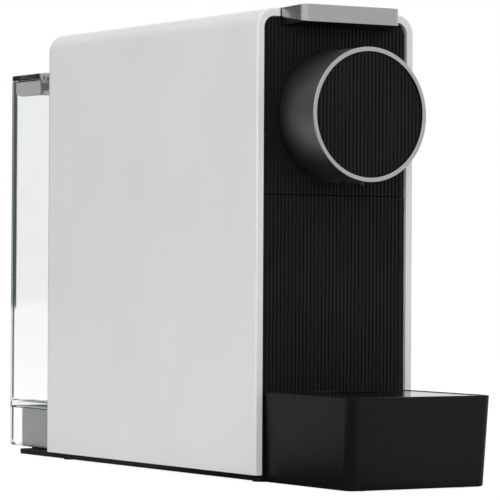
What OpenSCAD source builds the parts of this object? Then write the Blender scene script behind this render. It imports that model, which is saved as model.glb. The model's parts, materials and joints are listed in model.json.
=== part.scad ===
// Slim pod coffee machine: a ribbed black core inside an arched white shell, a round brew
// barrel with a spout, a lever that drives the capsule cage, a capsule drawer with a drip
// box, and a clear water tank behind. Millimetres, +Z up, front facing -Y, floor at z = 0.

/* [Body] */
// Width of the outer shell
body_w = 89; // [87:0.5:96]
// Height of the shell's top above the floor
body_h = 225; // [223:0.5:234]
// Length of the shell from its front rim to its rear face
body_len = 216.5; // [212:0.5:226]
// Thickness of the shell's side walls
shell_wall = 4; // [3:0.1:4.4]
// Thickness of the shell's top wall
shell_top_wall = 4; // [3.4:0.1:4.6]
// Radius of the shell's long top edges
shell_edge_r = 9.5; // [8:0.5:12]
// Radius of the shell's rear corners
shell_rear_r = 6.5; // [5:0.5:8]
// Depth of the front panels behind the shell's rim
rim_depth = 1; // [0.6:0.1:3]
// Gap between the shell and the floor
shell_lift = 3.7; // [3.4:0.1:5]

/* [Front panels] */
// Distance of the seam between the two front panels below the shell's top
seam_drop = 88.4; // [87:0.2:91]
// Thickness of the front panels
panel_t = 3; // [2.4:0.1:3.4]
// Spacing of the panels' upright ribs
rib_pitch = 2.1; // [1.8:0.1:3]
// Depth of the grooves between the ribs
rib_depth = 0.6; // [0.3:0.1:1]

/* [Barrel] */
// Radius of the brew barrel
barrel_r = 31.9; // [31:0.1:33]
// Reach of the barrel in front of the panel
barrel_len = 30.7; // [27:0.1:34]
// Distance of the barrel's axis below the shell's top
barrel_drop = 50.7; // [49:0.1:52]
// Width of the bright trim ring round the barrel's face
trim_w = 2.1; // [1.6:0.1:3.5]
// Length of the bright trim ring
trim_len = 0.6; // [0.4:0.1:2]
// Radius of the coffee spout
spout_r = 5.5; // [5:0.1:6.5]
// Distance of the spout in front of the panel
spout_reach = 15.5; // [14:0.5:18]

/* [Lever] */
// Width of the lever
lever_w = 63; // [62:0.2:66]
// Reach of the lever's front bar in front of the panel
lever_reach = 14.8; // [12:0.2:16]
// Height of the lever's front bar
lever_bar_h = 8.2; // [7.6:0.2:9.6]
// Radius of the front bar's corners, seen from above
lever_corner_r = 4; // [2:0.5:6]
// How far each end of the front bar leans in toward the front
lever_slant = 3.5; // [1:0.5:5]
// Height of the lever's top face above the shell
lever_proud = 0.2; // [0:0.1:1]
// Rise of the front bar's front edge above the lever's top face
lever_rise = 1.3; // [0.5:0.1:2]
// Angle through which the lever opens
lever_open = 80; // [70:1:80]
// Distance of the lever's axle behind the front panel
pivot_y = 95; // [94:0.5:96]
// Depth of the lever's axle below the shell's top
pivot_depth = 16; // [15.5:0.1:16.5]
// Radius of the lever's axle
axle_r = 3; // [2.5:0.1:3.5]

/* [Brew group] */
// Diameter of a capsule's rim
capsule_d = 37; // [36:0.5:38]
// Length of a capsule
capsule_len = 29; // [27:0.5:29.5]
// Travel of the capsule cage
cage_travel = 30; // [29:0.5:30]
// Radius of the cage's pins
cage_pin_r = 2; // [1.6:0.1:2.2]
// Thickness of the brew group's side plates and the lever's cam plates
plate_t = 3; // [2.5:0.1:3.2]

/* [Drawer] */
// Gap between the drip box and the shell's side at its top
drip_side = 0.85; // [0.5:0.05:2.5]
// Reach of the drip box in front of the panel
drip_len = 75.5; // [70:0.5:85]
// Height of the drip box
drip_h = 43; // [40:0.5:46]
// How far each side of the drip box leans in at its foot
drip_taper = 1.1; // [0:0.1:3]
// How far the front of the drip box leans back at its foot
drip_lean = 3.2; // [0:0.1:4]
// Radius of the drip box's front corners
drip_corner_r = 5.2; // [3:0.1:8]
// Wall of the drip box
drip_wall = 1.8; // [1.4:0.1:2.4]
// Diameter of the dished drain under the spout
dish_d = 23; // [18:0.5:30]
// Diameter of the drain holes
drain_d = 2.4; // [1.8:0.1:3]
// Gap between the used-capsule bin and the shell's side
bin_side = 5.5; // [5:0.5:10]
// Wall of the used-capsule bin
bin_wall = 1.8; // [1.4:0.1:2.4]

/* [Water tank] */
// Width of the tank
tank_w = 77.8; // [74:0.2:80]
// Length of the tank, from the machine to its rear face
tank_len = 55.8; // [52:0.2:66]
// Height of the tank body's rim above the floor
tank_top = 202.9; // [195:0.5:210]
// Height of the tank's foot above the floor
tank_foot = 4.5; // [4.4:0.1:6]
// Thickness of the tank's wall
tank_wall = 2.5; // [2:0.1:3]
// Radius of the tank's rear corners
tank_rear_r = 10; // [8:0.5:14]
// Height of the tank's floor above the floor
tank_floor_z = 26; // [25:0.5:28]
// Thickness of the tank's lid
lid_t = 3.2; // [2.6:0.1:4]
// Length of the tank's lid
lid_len = 40.5; // [40:0.5:44]
// Angle through which the tank's lid opens
lid_open = 95; // [80:1:100]

/* [Buttons] */
// Diameter of the two cup buttons
button_d = 14; // [12:0.2:15]
// Distance between the two cup buttons
button_pitch = 23; // [21:0.5:26]
// Distance of the buttons behind the front panel
button_y = 157; // [154:1:160]
// Travel of the buttons
button_travel = 1.2; // [0.8:0.1:1.4]

/* [Inside] */
// Radius of the pump's tube
pump_r = 9; // [8.5:0.1:9.5]
// Width of the pump's coil
coil_w = 36; // [34:0.5:38]
// Radius of the pump's plunger
plunger_r = 5.9; // [5.5:0.1:6.1]
// Radius of the water hoses
hose_r = 4; // [3.6:0.1:4.4]
// Radius of the pressure hoses
pressure_hose_r = 2.6; // [2.3:0.1:3]
// Gap between the heater block and the shell's side
heater_side = 14.5; // [13:0.5:18]
// Length of the heater block
heater_len = 46; // [42:1:48]
// Height of the heater block
heater_h = 36; // [32:1:38]
// Thickness of the circuit boards
board_t = 1.6; // [1.2:0.1:2]

/* [Base] */
// Diameter of the rubber feet
foot_d = 10; // [8:0.5:12]
// Radius of the mains cord's inlet
cord_inlet_r = 3.6; // [3.2:0.1:4.2]
// Radius of the case screws
screw_r = 1.4; // [1.2:0.1:1.6]

/* [Fits] */
// Gap between two pieces seated on each other
seat = 0.2; // [0.1:0.05:0.3]
// Gap between two pieces that move past each other
gap = 0.4; // [0.3:0.05:0.6]
// Radial clearance of a pin or a shaft in its bore
run = 0.06; // [0.03:0.01:0.1]

/* [Hidden] */
$fn = 64;
far = 400;
eps = 0.01;

// The shell and what it holds
half_w = body_w / 2;
inner_half = half_w - shell_wall;
inner_top = body_h - shell_top_wall;
inner_edge_r = shell_edge_r - shell_wall;
shell_front = -rim_depth;
shell_rear = shell_front + body_len;
rear_wall_y = shell_rear - shell_wall;
barrel_z = body_h - barrel_drop;
seam_z = body_h - seam_drop;
rear_flange = 6;
boss_r = 4;
boss_x = inner_half - boss_r - 0.9;
sleeve_bore = barrel_r - trim_w + 0.1;

// The base under the shell
foot_h = 2.2;
foot_x = half_w - 11;
foot_front_y = 10;
foot_rear_y = rear_wall_y - 10;
slab_bottom = 0.9;
slab_top = shell_lift - 0.3;
base_top = 6.6;
base_front = 0.3;
base_rear = shell_rear + 35;

// The drawer and the upright wall behind it
bin_rear = 79;
wall_front = bin_rear + 2;
wall_t = 3;
wall_rear = wall_front + wall_t;
deck_bottom = seam_z + 1.4;
deck_top = deck_bottom + 3;
back_wall_front = foot_rear_y + 0.7;
back_wall_rear = back_wall_front + wall_t;
boss_front_y = wall_rear + boss_r + 2;
boss_rear_y = back_wall_front - boss_r - 5;
gland_y = boss_rear_y - 14;
gland_z = 24;
screw_clear = 0.1;
screw_head_r = 3;

// The lever, its axle and its cams
lever_half = lever_w / 2;
pivot_z = body_h - pivot_depth;
lever_top = body_h + lever_proud;
lever_under = inner_top + gap;
bar_rear = -1;
hub_r = lever_top - pivot_z + 0.3;
hub_inner_r = hub_r - 3.4;
cutout_half = lever_half + gap;
cutout_rear = pivot_y + hub_r - 1.4;
cam_half = 27;
cam_rear_y = 45;
cage_drop = pivot_z - barrel_z;
cam_slot = cage_pin_r + 0.3;
cam_rim = 4.2;
cam_front = 42;

// The brew group between its side plates
side_half = 23;
cage_half = side_half - gap;
guide_pin_y = 25;
plate_front = 5.4;
plate_bottom = deck_top + seat;
plate_top = pivot_z + 7;
head_front = 4.4;
head_rear = 12;
seal_rear = 14.2;
cage_front = seal_rear + 0.3;
cage_body_rear = cage_front + capsule_len + 4.5;
cage_hub_rear = cage_body_rear + 8;
capsule_r = capsule_d / 2;
bridge_front = cage_hub_rear + cage_travel + 1.5;
bridge_rear = bridge_front + 3;
bend_y = bridge_rear + 8;

// The drip box and the bin
drip_w = 2 * (inner_half - drip_side);
drip_foot = 0.4;
drip_rim = 2.9;
drip_lid_t = 1.5;
drip_lid_top = drip_h - 0.3;
drip_back = 0.3;
pad_x = drip_w / 2 - 12;
pad_y = drip_lean + 9 - drip_len;
dish_y = -spout_reach - 3;
bin_w = 2 * (inner_half - bin_side);
bin_bottom = base_top + 0.3;
bin_top = seam_z - 8;
bin_front = panel_t + seat;

// The tank and its seat
tank_half = tank_w / 2;
tank_front = shell_rear + 1.2;
tank_rear = tank_front + tank_len;
tank_front_r = 4;
lid_front = tank_rear - lid_len;
lid_axis_y = lid_front - 3.4;
lid_axis_z = tank_top + 0.4;
lid_pin_r = 1.5;
skirt_h = 8.4;
swing_gap = 1.3;
knuckle_r = 3;
pedestal_rear = shell_rear + 43.6;
valve_y = (tank_front + pedestal_rear) / 2;
valve_neck_r = 5.9;
valve_r = 8.6;
socket_r = valve_r + 0.4;
water_z = 12;
nipple_r = 2.4;
platform_top = tank_foot - 0.3;
pedestal_top = tank_floor_z - 0.4;

// Panel plane's place, so that the whole machine is centred on the origin
panel_y = (drip_len - tank_rear) / 2;

// Small parts inside
pump_x = 8;
pump_y = 122;
coil_bottom = 38;
coil_h = 46;
pump_bottom = 22;
pump_top = 104;
mount_r = 14;
mount_low = 24;
mount_high = 92;
mount_h = 6;
meter_r = 13;
meter_x = meter_r + 3.5 - inner_half;
meter_y = 165;
meter_top = 21;
heater_w = 2 * (inner_half - heater_side);
heater_front = 146;
heater_bottom = deck_top + 12;
board_x = inner_half - 7;
board_bottom = 45;
button_x = button_pitch / 2;
post_x = 21;
post_y = 14;
button_board_top = inner_top - 12.4;
button_flange_z = inner_top - gap;

/* ---- shared shapes ---- */
// Puts a piece drawn from the front panel's plane at its place in the machine
module placed() {
  translate([0, panel_y, 0]) children();
}

module block(x, y, z) {
  translate([x[0], y[0], z[0]]) cube([x[1] - x[0], y[1] - y[0], z[1] - z[0]]);
}

module rod_x(x, y, z, r) {
  translate([x[0], y, z]) rotate([0, 90, 0]) cylinder(h = x[1] - x[0], r = r);
}

module rod_y(x, y, z, r) {
  translate([x, y[0], z]) rotate([-90, 0, 0]) cylinder(h = y[1] - y[0], r = r);
}

module rod_z(x, y, z, r) {
  translate([x, y, z[0]]) cylinder(h = z[1] - z[0], r = r);
}

// A rectangle whose front and rear corners have their own radii, or are square at 0
module corner_square(half, y, r_front, r_rear) {
  translate([-half, y[0] + r_front]) square([2 * half, y[1] - y[0] - r_front - r_rear]);
  if (r_front > 0) {
    translate([r_front - half, y[0]]) square([2 * (half - r_front), r_front + 1]);
    for (side = [-1, 1]) translate([side * (half - r_front), y[0] + r_front]) circle(r = r_front);
  }
  if (r_rear > 0) {
    translate([r_rear - half, y[1] - r_rear - 1]) square([2 * (half - r_rear), r_rear + 1]);
    for (side = [-1, 1]) translate([side * (half - r_rear), y[1] - r_rear]) circle(r = r_rear);
  }
}

// An upright block with rounded front and rear corners
module pillar(half, y, z, r_front, r_rear) {
  translate([0, 0, z[0]]) linear_extrude(z[1] - z[0]) corner_square(half, y, r_front, r_rear);
}

// A long block with an arched top: square at the foot, rounded along its two top edges
module arch(half, y, z, r) {
  translate([0, y[1], 0]) rotate([90, 0, 0]) linear_extrude(y[1] - y[0]) {
    translate([-half, z[0]]) square([2 * half, z[1] - z[0] - r]);
    translate([r - half, z[0]]) square([2 * (half - r), z[1] - z[0]]);
    for (side = [-1, 1]) translate([side * (half - r), z[1] - r]) circle(r = r);
  }
}

// A flat plate drawn in the machine's side view and lying between two x values
module side_sheet(x) {
  translate([x[0], 0, 0]) rotate([90, 0, 90]) linear_extrude(x[1] - x[0]) children();
}

// Upright ribs over a panel's front face, with the panel behind them
module ribbed_sheet(half, back, z, pitch, depth) {
  count = floor(half / pitch);
  step = pitch / 4;
  outline = concat(
    [[-half, back], [-half, depth]],
    [for (i = [-count:count]) for (p = [[-step, depth], [-step, 0], [step, 0], [step, depth]])
      [i * pitch + p[0], p[1]]],
    [[half, depth], [half, back]]
  );
  translate([0, 0, z[0]]) linear_extrude(z[1] - z[0]) polygon(outline);
}

// Points of a helix and the wire swept along it, closed at both ends
module coil_spring(r, wire, height, turns) {
  sides = 6;
  rings = turns * 12;
  pts = [for (i = [0:rings]) for (k = [0:sides - 1])
    let (a = 360 * i / 12, b = 360 * k / sides, q = r + wire * cos(b))
    [q * cos(a), q * sin(a), wire + (height - 2 * wire) * i / rings + wire * sin(b)]];
  body = [for (i = [0:rings - 1]) for (k = [0:sides - 1])
    [i * sides + k, (i + 1) * sides + k, (i + 1) * sides + (k + 1) % sides,
      i * sides + (k + 1) % sides]];
  ends = [[for (k = [0:sides - 1]) k], [for (k = [sides - 1:-1:0]) rings * sides + k]];
  polyhedron(points = pts, faces = concat(body, ends), convexity = 8);
}

// A solid rod between two points
module strut(a, b, r) {
  d = b - a;
  translate(a) rotate([0, atan2(norm([d[0], d[1]]), d[2]), atan2(d[1], d[0])])
    cylinder(h = norm(d), r = r);
}

// A hose through a list of points, with a ball at each bend
module hose(points, r, bore) {
  last = len(points) - 1;
  difference() {
    union() {
      for (i = [0:last - 1]) strut(points[i], points[i + 1], r);
      for (i = [1:last - 1]) translate(points[i]) sphere(r = r + 0.15);
    }
    strut(points[0] - 0.01 * (points[1] - points[0]), points[1], bore);
    for (i = [1:last - 2]) strut(points[i], points[i + 1], bore);
    strut(points[last - 1], points[last] + 0.01 * (points[last] - points[last - 1]), bore);
    for (i = [1:last - 1]) translate(points[i]) sphere(r = bore + 0.1);
  }
}

/* ---- casing ---- */
module outer_shell() {
  color("whitesmoke") placed() {
    difference() {
      intersection() {
        arch(half_w, [shell_front, shell_rear], [shell_lift, body_h], shell_edge_r);
        pillar(half_w, [shell_front, shell_rear], [0, far], 0, shell_rear_r);
      }
      intersection() {
        arch(inner_half, [shell_front - 1, rear_wall_y], [0, inner_top], inner_edge_r);
        pillar(inner_half, [shell_front - 1, rear_wall_y], [-1, far], 0,
          shell_rear_r - shell_wall);
      }
      block([-cutout_half, cutout_half], [shell_front - 1, cutout_rear], [inner_top - 1, far]);
      block([rear_flange - inner_half, inner_half - rear_flange], [rear_wall_y - 1, far],
        [-1, inner_top - rear_flange]);
      for (side = [-1, 1])
        rod_z(side * button_x, button_y, [inner_top - 1, far], button_d / 2 + gap);
      rod_x([inner_half - 1, far], gland_y, gland_z, cord_inlet_r + 3);
    }
    shell_bosses();
    board_bosses();
  }
}

// Screw bosses inside the shell's foot, each joined to the wall by a rib
module shell_bosses() {
  for (side = [-1, 1]) for (y = [boss_front_y, boss_rear_y]) difference() {
    union() {
      rod_z(side * boss_x, y, [base_top + seat, base_top + 16], boss_r);
      block(side > 0 ? [boss_x, inner_half + 1] : [-inner_half - 1, -boss_x],
        [y - 1.5, y + 1.5], [base_top + seat, base_top + 16]);
    }
    rod_z(side * boss_x, y, [base_top, base_top + 14], screw_r + run);
  }
}

// Four posts under the shell's top that hold the button board
module board_bosses() {
  for (x = [-post_x, post_x]) for (y = [button_y - post_y, button_y + post_y]) difference() {
    rod_z(x, y, [button_board_top + seat, inner_top + 1], 3);
    rod_z(x, y, [button_board_top, button_board_top + 8], 1);
  }
}

module rear_cover() {
  color("#2b2c2d") placed() difference() {
    union() {
      pillar(inner_half - 3.8, [rear_wall_y - 2.8, rear_wall_y - seat],
        [base_top + seat, inner_top - 3.8], 1, 1);
      block([rear_flange + gap - inner_half, inner_half - rear_flange - gap],
        [rear_wall_y - 1, shell_rear - 0.8], [base_top + seat, inner_top - rear_flange - gap]);
      for (i = [0:8]) block([-20, 20], [rear_wall_y - 2.8, shell_rear - 0.2],
        [120 + 6 * i, 122.4 + 6 * i]);
    }
    block([-8, 8], [rear_wall_y - 4, far], [0, water_z + 5]);
    for (i = [0:8]) block([-18, 18], [rear_wall_y - 4, far], [123 + 6 * i, 125 + 6 * i]);
  }
}

module base_plate() {
  color("#1b1c1d") placed() difference() {
    union() {
      pillar(half_w - 2.2, [base_front, base_rear], [slab_bottom, slab_top], 2, 6);
      block([0.5 - inner_half, inner_half - 0.5], [panel_t + 1, rear_wall_y - 4],
        [slab_top - 1, base_top]);
      pillar(tank_half - 4, [shell_rear + 0.4, base_rear], [slab_top - 1, platform_top], 1, 5);
      for (side = [-1, 1]) translate([side * (bin_w / 2 + 2), 0, 0])
        block([-1, 1], [10, bin_rear], [base_top - 1, base_top + 6]);
    }
    for (side = [-1, 1]) {
      for (y = [foot_front_y, foot_rear_y])
        rod_z(side * foot_x, y, [0, foot_h + seat], foot_d / 2 + seat);
      for (y = [boss_front_y, boss_rear_y]) {
        rod_z(side * boss_x, y, [0, far], screw_r + screw_clear);
        rod_z(side * boss_x, y, [0, slab_bottom + 2.6], screw_head_r + 0.3);
      }
    }
  }
}

module rubber_feet() {
  color("#222222") placed() for (side = [-1, 1]) for (y = [foot_front_y, foot_rear_y])
    rod_z(side * foot_x, y, [0, foot_h], foot_d / 2);
}

module base_screws() {
  color("silver") placed() for (side = [-1, 1]) for (y = [boss_front_y, boss_rear_y])
    difference() {
      union() {
        rod_z(side * boss_x, y, [slab_bottom + 0.3, slab_bottom + 2.5], screw_head_r);
        rod_z(side * boss_x, y, [slab_bottom + 2, base_top + 12], screw_r);
      }
      rod_z(side * boss_x, y, [0, slab_bottom + 1.3], 1.2);
    }
}

// The inner carrier: an upright wall, a deck for the brew group and a rear wall
module chassis() {
  color("#3a3b3d") placed() difference() {
    union() {
      block([0.8 - inner_half, inner_half - 0.8], [wall_front, wall_rear],
        [base_top + seat, deck_top]);
      block([0.8 - inner_half, inner_half - 0.8], [panel_t + 1.6, back_wall_rear],
        [deck_bottom, deck_top]);
      block([0.8 - inner_half, inner_half - 0.8], [back_wall_front, back_wall_rear],
        [base_top + seat, deck_top]);
      for (z = [mount_low, mount_high]) block([pump_x - mount_r - 3, pump_x + mount_r + 3],
        [wall_rear - 1, pump_y + mount_r + 3], [z, z + mount_h]);
    }
    block([-capsule_r - 2, capsule_r + 2], [head_rear, bridge_front - 28], [deck_bottom - 1, far]);
    for (z = [mount_low, mount_high])
      rod_z(pump_x, pump_y, [z - 1, z + mount_h + 1], mount_r + seat);
    rod_z(pump_x, heater_front + 14, [deck_bottom - 1, far], pressure_hose_r + 0.6);
    rod_y(0, [back_wall_front - 1, far], water_z, hose_r + 0.6);
    for (y = [boss_front_y, boss_rear_y]) for (side = [-1, 1])
      rod_z(side * boss_x, y, [0, base_top + 17], boss_r + 0.4);
  }
}

/* ---- front ---- */
module front_panel_upper() {
  color("#1a1a1b") placed() difference() {
    intersection() {
      ribbed_sheet(inner_half - 0.3, panel_t, [seam_z + 0.2, inner_top - seat],
        rib_pitch, rib_depth);
      arch(inner_half - 0.3, [-1, panel_t + 1], [0, inner_top - seat], inner_edge_r - 0.3);
    }
    rod_y(0, [-1, panel_t + 1], barrel_z, barrel_r + seat);
  }
}

module barrel_sleeve() {
  color("#3b3c3e") placed() difference() {
    union() {
      rod_y(0, [trim_len - barrel_len, panel_t + 1.2], barrel_z, barrel_r);
      rod_y(0, [panel_t + seat, panel_t + 1.2], barrel_z, barrel_r + 2.4);
    }
    rod_y(0, [-far, panel_t + 2], barrel_z, sleeve_bore);
    rod_z(0, -spout_reach, [barrel_z - barrel_r - 1, barrel_z], spout_r + 0.3);
  }
}

module barrel_trim_ring() {
  color("#c9cacc") placed() difference() {
    rod_y(0, [-barrel_len, trim_len - barrel_len], barrel_z, barrel_r);
    rod_y(0, [-far, 0], barrel_z, barrel_r - trim_w);
  }
}

module barrel_cap() {
  cap_front = 0.8 - barrel_len;
  cap_r = barrel_r - trim_w - seat;
  color("#161617") placed() {
    intersection() {
      translate([0, cap_front, 0]) ribbed_sheet(cap_r, 3, [barrel_z - cap_r, barrel_z + cap_r],
        rib_pitch, rib_depth);
      rod_y(0, [-far, 0], barrel_z, cap_r);
    }
    difference() {
      rod_y(0, [cap_front + 2.9, cap_front + 7], barrel_z, barrel_r - 2.8);
      rod_y(0, [cap_front, 0], barrel_z, barrel_r - 4.6);
    }
  }
}

module coffee_spout() {
  color("#202021") placed() difference() {
    union() {
      rod_z(0, -spout_reach, [barrel_z - barrel_r - 1.2, barrel_z - 22], spout_r);
      rod_z(0, -spout_reach, [barrel_z - 27.8, barrel_z - 26], spout_r + 1.5);
    }
    rod_z(0, -spout_reach, [0, barrel_z], spout_r - 2.6);
  }
}

module coffee_duct() {
  duct_z = barrel_z - 15;
  color("#4a4b4d") placed() difference() {
    union() {
      rod_z(0, -spout_reach, [barrel_z - 22 + seat, duct_z + 4.5], 4.5);
      rod_y(0, [-spout_reach, head_front - seat], duct_z, 4.5);
    }
    rod_z(0, -spout_reach, [0, duct_z], 2.4);
    rod_y(0, [-spout_reach, far], duct_z, 2.4);
  }
}

/* ---- lever ---- */
// The lever seen from above: its ends run from the panel's plane in to the front bar's round corners
module lever_outline() {
  corner = [lever_half - lever_slant - lever_corner_r, lever_corner_r - lever_reach];
  run = [lever_half - corner[0], -corner[1]];
  turn = atan2(run[1], run[0]) - acos(lever_corner_r / norm(run));
  touch = corner + lever_corner_r * [cos(turn), sin(turn)];
  polygon([
    [lever_half, pivot_y], [lever_half, 0], touch, [corner[0], -lever_reach],
    [-corner[0], -lever_reach], [-touch[0], touch[1]], [-lever_half, 0], [-lever_half, pivot_y]
  ]);
  for (side = [-1, 1]) translate([side * corner[0], corner[1]]) circle(r = lever_corner_r);
}

module lever_handle() {
  bar_top = lever_top + lever_rise;
  profile = [
    [-lever_reach, bar_top], [-lever_reach, bar_top - lever_bar_h],
    [bar_rear, lever_top - lever_bar_h], [bar_rear, lever_under], [pivot_y, lever_under],
    [pivot_y, lever_top], [bar_rear, lever_top]
  ];
  color("#b9babc") placed() {
    difference() {
      intersection() {
        linear_extrude(far) lever_outline();
        side_sheet([-far, far]) polygon(profile);
      }
      block([3 - lever_half, lever_half - 3], [6, pivot_y - 4], [0, lever_top - 2.2]);
      for (side = [-1, 1]) translate([side * (cam_half + plate_t / 2), 0, 0])
        block([-plate_t / 2 - seat, plate_t / 2 + seat], [cam_front - seat, pivot_y - 4],
          [0, lever_top - 2.2]);
      rod_x([-far, far], pivot_y, pivot_z, hub_inner_r);
    }
    // Rounded rear cover of the hub, concentric with the axle
    intersection() {
      difference() {
        rod_x([-lever_half, lever_half], pivot_y, pivot_z, lever_top - pivot_z);
        rod_x([-far, far], pivot_y, pivot_z, hub_inner_r);
      }
      block([-far, far], [pivot_y, far], [pivot_z, far]);
    }
  }
}

// Place of the cage's cam pin in the lever's own frame when the lever is open by an angle
function cam_point(open) =
  let (y = cam_rear_y + cage_travel * open / lever_open - pivot_y)
  [pivot_y + y * cos(open) + cage_drop * sin(open),
    pivot_z + y * sin(open) - cage_drop * cos(open)];

// Unit vector across the cam path at an angle
function cam_side(open) =
  let (d = cam_point(open + 0.5) - cam_point(open - 0.5))
  [-d[1], d[0]] / norm(d);

// The band that lies within a distance of the cam path
module cam_band(reach) {
  steps = 16;
  angles = [for (i = [0:steps]) lever_open * i / steps];
  polygon(concat(
    [for (a = angles) cam_point(a) + reach * cam_side(a)],
    [for (i = [steps:-1:0]) cam_point(angles[i]) - reach * cam_side(angles[i])]
  ));
  for (a = [0, lever_open]) translate(cam_point(a)) circle(r = reach);
}

module lever_cam(side) {
  cam_edge = cam_slot + cam_rim;
  cam_top = lever_top - 2.2 - seat;
  x = side > 0 ? [cam_half, cam_half + plate_t] : [-cam_half - plate_t, -cam_half];
  color("#8d8f92") placed() difference() {
    side_sheet(x) {
      polygon(concat([[pivot_y, pivot_z], [pivot_y - 5, cam_top],
        [cam_front, cam_top], [cam_front, cam_top - 6]],
        [for (i = [0:16]) let (a = lever_open * i / 16) cam_point(a) - cam_edge * cam_side(a)]));
      for (a = [0, lever_open]) translate(cam_point(a)) circle(r = cam_edge);
      translate([pivot_y, pivot_z]) circle(r = hub_inner_r - 0.6);
    }
    side_sheet([x[0] - 1, x[1] + 1]) cam_band(cam_slot);
    rod_x([x[0] - 1, x[1] + 1], pivot_y, pivot_z, axle_r + run);
  }
}

module lever_cam_left() {
  lever_cam(-1);
}

module lever_cam_right() {
  lever_cam(1);
}

module lever_axle() {
  reach = cam_half + plate_t + 2.2;
  color("silver") placed() difference() {
    rod_x([-reach, reach], pivot_y, pivot_z, axle_r);
    for (side = [-1, 1]) difference() {
      rod_x(side > 0 ? [reach - 1.7, reach - 0.7] : [0.7 - reach, 1.7 - reach],
        pivot_y, pivot_z, axle_r + 1);
      rod_x([-far, far], pivot_y, pivot_z, axle_r - 0.6);
    }
  }
}

module axle_clips() {
  reach = cam_half + plate_t + 2.2;
  color("gray") placed() for (side = [-1, 1]) difference() {
    rod_x(side > 0 ? [reach - 1.6, reach - 0.8] : [0.8 - reach, 1.6 - reach],
      pivot_y, pivot_z, axle_r + 2);
    rod_x([-far, far], pivot_y, pivot_z, axle_r - 0.6 + run);
    block([-far, far], [pivot_y - 1.6, pivot_y + 1.6], [pivot_z - 9, pivot_z]);
  }
}

/* ---- brew group ---- */
// Inner cover under the lever, with the slot that a capsule drops through
module capsule_guide() {
  color("#252628") placed() difference() {
    union() {
      block([-side_half - plate_t, side_half + plate_t], [panel_t + 1, pivot_y - 18],
        [plate_top + seat, plate_top + 2]);
      for (side = [-1, 1]) translate([side * (side_half - gap - 1.2), 0, 0])
        block([-1, 1], [head_rear + 3, cage_front + cage_travel], [plate_top - 6, plate_top + 1]);
    }
    block([-capsule_r - 0.8, capsule_r + 0.8], [seal_rear - 0.6, cage_front + cage_travel],
      [0, far]);
  }
}

// A side plate of the brew group: guide slot for the cage, bore for the lever's axle
module brew_plate(side) {
  x = side > 0 ? [side_half, side_half + plate_t] : [-side_half - plate_t, -side_half];
  slot_half = cage_pin_r + run;
  color("#55575a") placed() difference() {
    side_sheet(x) {
      polygon([[plate_front, plate_bottom], [pivot_y - 2, plate_bottom],
        [pivot_y - 2, pivot_z], [pivot_y - 12, plate_top], [plate_front, plate_top]]);
      translate([pivot_y, pivot_z]) circle(r = hub_inner_r - 1.2);
    }
    block([x[0] - 1, x[1] + 1], [guide_pin_y, cam_rear_y + cage_travel],
      [barrel_z - slot_half, barrel_z + slot_half]);
    for (y = [guide_pin_y, cam_rear_y + cage_travel])
      rod_x([x[0] - 1, x[1] + 1], y, barrel_z, slot_half);
    rod_x([x[0] - 1, x[1] + 1], pivot_y, pivot_z, axle_r + run);
  }
}

module brew_plate_left() {
  brew_plate(-1);
}

module brew_plate_right() {
  brew_plate(1);
}

module brew_bridge() {
  color("#4a4b4d") placed() difference() {
    block([seat - side_half, side_half - seat], [bridge_front, bridge_rear],
      [plate_bottom, barrel_z + 14]);
    rod_y(0, [bridge_front - 1, bridge_rear + 1], barrel_z, pressure_hose_r + 2);
  }
}

module extraction_head() {
  color("#2f3032") placed() difference() {
    union() {
      rod_y(0, [head_front, head_rear], barrel_z, capsule_r + 3.4);
      block([seat - side_half, side_half - seat], [panel_t + 2.4, head_rear],
        [plate_bottom, barrel_z]);
    }
    rod_y(0, [head_rear - 2.4, head_rear + 1], barrel_z, capsule_r - 2);
    rod_y(0, [0, head_rear], barrel_z - 15, 2.4);
  }
}

module extraction_plate() {
  plate_r = capsule_r - 2 - seat;
  color("silver") placed() {
    difference() {
      rod_y(0, [head_rear - 0.6, head_rear + 0.6], barrel_z, plate_r);
      for (i = [-3:3]) for (k = [-3:3]) if (norm([i, k]) < 3.4)
        rod_y(4 * i, [head_rear - 1, head_rear + 1], barrel_z + 4 * k, 0.6);
    }
    for (i = [-3:2]) for (k = [-3:2]) if (norm([i + 0.5, k + 0.5]) < 3.2)
      translate([4 * i + 2, head_rear + 0.5, barrel_z + 4 * k + 2]) rotate([-90, 0, 0])
        cylinder(h = 1.2, r1 = 1.1, r2 = 0.5);
  }
}

module plate_seal() {
  color("#6b2d23") placed() difference() {
    rod_y(0, [head_rear + seat, seal_rear], barrel_z, capsule_r + 1.5);
    rod_y(0, [head_rear, far], barrel_z, capsule_r - 1.6);
  }
}

module brew_cage() {
  shoulder = cage_front + capsule_len;
  color("#3d3e40") placed() difference() {
    union() {
      intersection() {
        rod_y(0, [cage_front, cage_body_rear], barrel_z, capsule_r + 2.4);
        block([-cage_half, cage_half], [0, far], [0, far]);
      }
      rod_y(0, [cage_body_rear - 1, cage_hub_rear], barrel_z, 8);
      for (y = [guide_pin_y, cam_rear_y])
        rod_x([-cage_half, cage_half], y, barrel_z, cage_pin_r + 3);
    }
    translate([0, cage_front - eps, barrel_z]) rotate([-90, 0, 0])
      cylinder(h = capsule_len - 4, r1 = capsule_r - 3.2, r2 = capsule_r - 6);
    rod_y(0, [cage_front, shoulder], barrel_z, capsule_r - 7);
    rod_y(0, [cage_front - 1, far], barrel_z, 1.6);
    rod_y(0, [cage_hub_rear - 6, far], barrel_z, pressure_hose_r + 0.1);
    for (y = [guide_pin_y, cam_rear_y]) for (side = [-1, 1])
      rod_x(side > 0 ? [capsule_r - 0.6, far] : [-far, 0.6 - capsule_r], y, barrel_z,
        cage_pin_r + 0.02);
  }
}

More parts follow.
